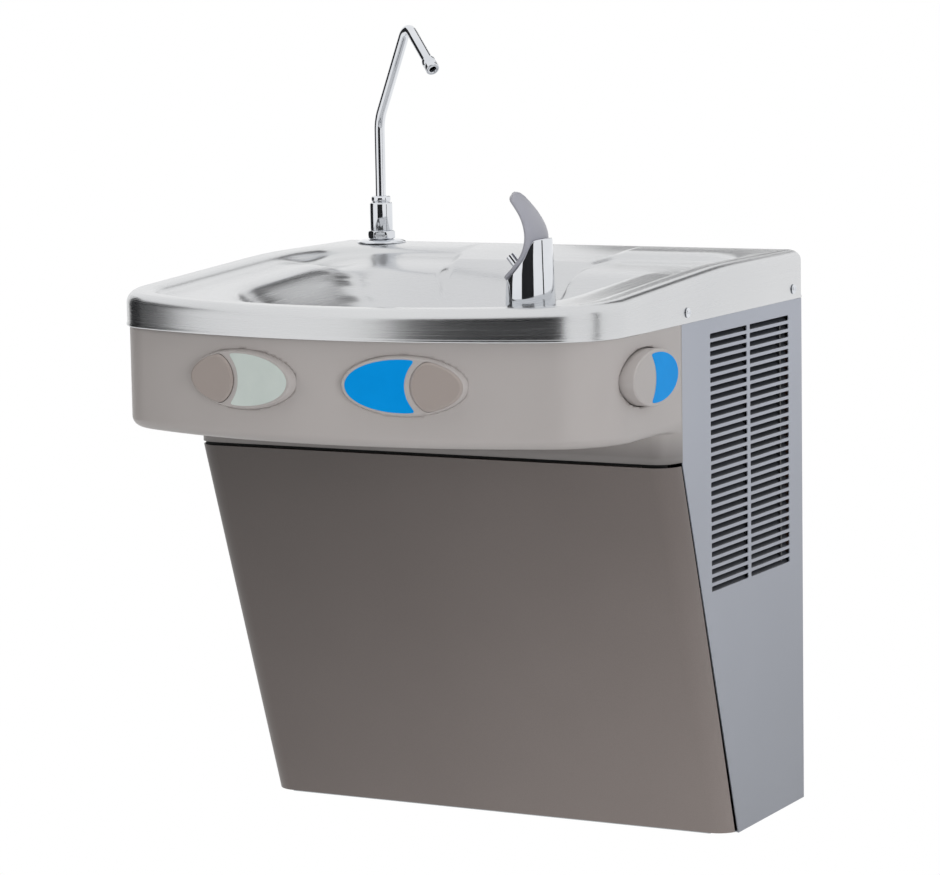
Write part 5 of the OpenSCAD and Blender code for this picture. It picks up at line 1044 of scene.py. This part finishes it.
def makeScrews(p):
    # Dome height skirt + h (1 - q^power) less a cross-shaped dip 1 mm deep near the middle
    q, n = np.array(p["rings"])[:, None], p["turns"]
    x, y = (q * c for c in circle(0, 1, n).T)

    def bar(across, along):
        # One bar of the cross: 1 on it and 0 off it, with soft edges
        return (1 - ramp(abs(across), *p["barWide"])) * (1 - ramp(abs(along), *p["barLong"]))

    z = p["skirt"] + p["h"] * (1 - q ** p["power"]) + 0 * x
    z[0] = 0
    g = np.stack([x * p["r"], y * p["r"], z - np.maximum(bar(x, y), bar(y, x))], -1)
    faces, size, parts = gridFaces(len(q), n, True), len(q) * n, []
    for s in (-1, 1):
        parts += [placed(g, outwards(p["face"], at, p["z"], s)).reshape(-1, 3) for at in p["ys"]]
    bases = [k * size for k in range(len(parts))]
    caps = [list(range(b + e, b + e + n)) for b in bases for e in (0, size - n)]
    quads = np.concatenate([faces + b for b in bases])
    return tidyMesh(meshPiece("skirt_screw_heads", np.concatenate(parts), quads, None, True, caps))


finishPiece(makeScrews(screw), "skirt_screws")

# Ground, backdrop and soft studio light: lamps as place, size, power and tint, cards as
# azimuth, elevation and half angles wide and high
studio = dict(
    floorZ=-0.62, floorSize=30.0, world=0.20, middle=(0, -0.23, 0.45), cardReach=3.6,
    lamps=dict(keyLamp=((2.5, -2.7, 0.6), 1.5, 42.0, (0.97, 0.98, 1.0)),
               fillLamp=((-3.2, -2.0, 1.8), 2.0, 26.0, (1.0, 0.98, 0.96)),
               sideLamp=((3.0, 0.3, 2.2), 1.5, 16.0, (0.92, 0.95, 1.0)),
               topLamp=((0.2, -0.6, 3.0), 2.2, 26.0, (1, 1, 1))),
    cards=dict(darkCardFront=(15, 2, 27, 27), darkCardLeft=(-88, 4, 24, 26),
               darkCardRight=(88, 4, 3, 26), darkCardBack=(176, 36, 7, 12),
               darkCardLow=(-165, 12, 9, 4)))


def seenRays(tree):
    # 1 for camera, glossy and transmission rays, 0 for the others
    path = addNode(tree, "LightPath").outputs
    seen = mathNode(tree, "MAXIMUM", path["Is Camera Ray"], path["Is Glossy Ray"])
    return mathNode(tree, "MAXIMUM", seen, path["Is Transmission Ray"])


def square(name, halfWide, halfHigh, place, material):
    # A flat card or floor; the half sizes are millimetres
    corners = np.array([(-1, -1, 0), (1, -1, 0), (1, 1, 0), (-1, 1, 0)]) * [halfWide, halfHigh, 1]
    obj = meshPiece(name, placed(corners, place), [(0, 1, 2, 3)], None, False)
    obj.data.materials.append(material)
    return obj


def makeFloor(p):
    # Pale diffuse ground that looks plain white to the camera and in reflections
    m = bpy.data.materials.new("paleFloor")
    t = freshTree(m)
    pale = addNode(t, "BsdfDiffuse", {"Color": (0.86, 0.86, 0.86, 1)}).outputs[0]
    white = addNode(t, "Emission", {"Color": (1, 1, 1, 1)}).outputs[0]
    mixer = addNode(t, "MixShader", {0: seenRays(t), 1: pale, 2: white})
    addNode(t, "OutputMaterial", {0: mixer.outputs[0]})
    half = p["floorSize"] * 500
    square("studioFloor", half, half, Matrix.Translation((0, 0, p["floorZ"] * 1000)), m)


def makeWorld(p):
    # White where it is seen or mirrored, and dimmer as a light
    world = bpy.data.worlds.new("studioWorld")
    bpy.context.scene.world = world
    t = freshTree(world)
    strength = mathNode(t, "MULTIPLY_ADD", seenRays(t), 1 - p["world"], p["world"])
    back = addNode(t, "Background", {"Color": (1, 1, 1, 1), "Strength": strength})
    addNode(t, "OutputWorld", {0: back.outputs[0]})


def aimAt(place, target):
    # At the place, with local -Z towards the target
    m = (Vector(target) - Vector(place)).to_track_quat("-Z", "Y").to_matrix().to_4x4()
    m.translation = Vector(place)
    return m


def makeLamp(name, middle, place, size, power, tint):
    # A square soft light aimed at the middle and kept out of reflections
    data = bpy.data.lights.new(name, "AREA")
    data.shape, data.size, data.size_y = "RECTANGLE", size, size
    data.energy, data.color = power, tint
    obj = linkObject(name, data)
    obj.matrix_world = aimAt(place, middle)
    obj.visible_glossy = False


def makeDarkCard(name, middle, reach, azimuth, elevation, halfWide, halfHigh):
    # A matt black card that only reflections see, turned to the object; half angles size it
    a, e = math.radians(azimuth), math.radians(elevation)
    away = Vector((math.sin(a) * math.cos(e), -math.cos(a) * math.cos(e), math.sin(e)))
    place = Vector(middle) + reach * away
    w, h = (1000 * reach * math.tan(math.radians(k)) for k in (halfWide, halfHigh))
    m = bpy.data.materials.new(name)
    m.use_nodes = True
    matt = m.node_tree.nodes["Principled BSDF"].inputs
    matt["Base Color"].default_value, matt["Roughness"].default_value = (0.02, 0.02, 0.022, 1), 0.9
    obj = square(name, w, h, aimAt(place * 1000, Vector(middle) * 1000), m)
    obj.visible_camera = obj.visible_diffuse = obj.visible_shadow = obj.visible_transmission = False


makeFloor(studio)
makeWorld(studio)
for lampName, values in studio["lamps"].items():
    makeLamp(lampName, studio["middle"], *values)
for cardName, angles in studio["cards"].items():
    makeDarkCard(cardName, studio["middle"], studio["cardReach"], *angles)
bpy.context.scene.view_settings.view_transform = "Standard"
print("studio made")
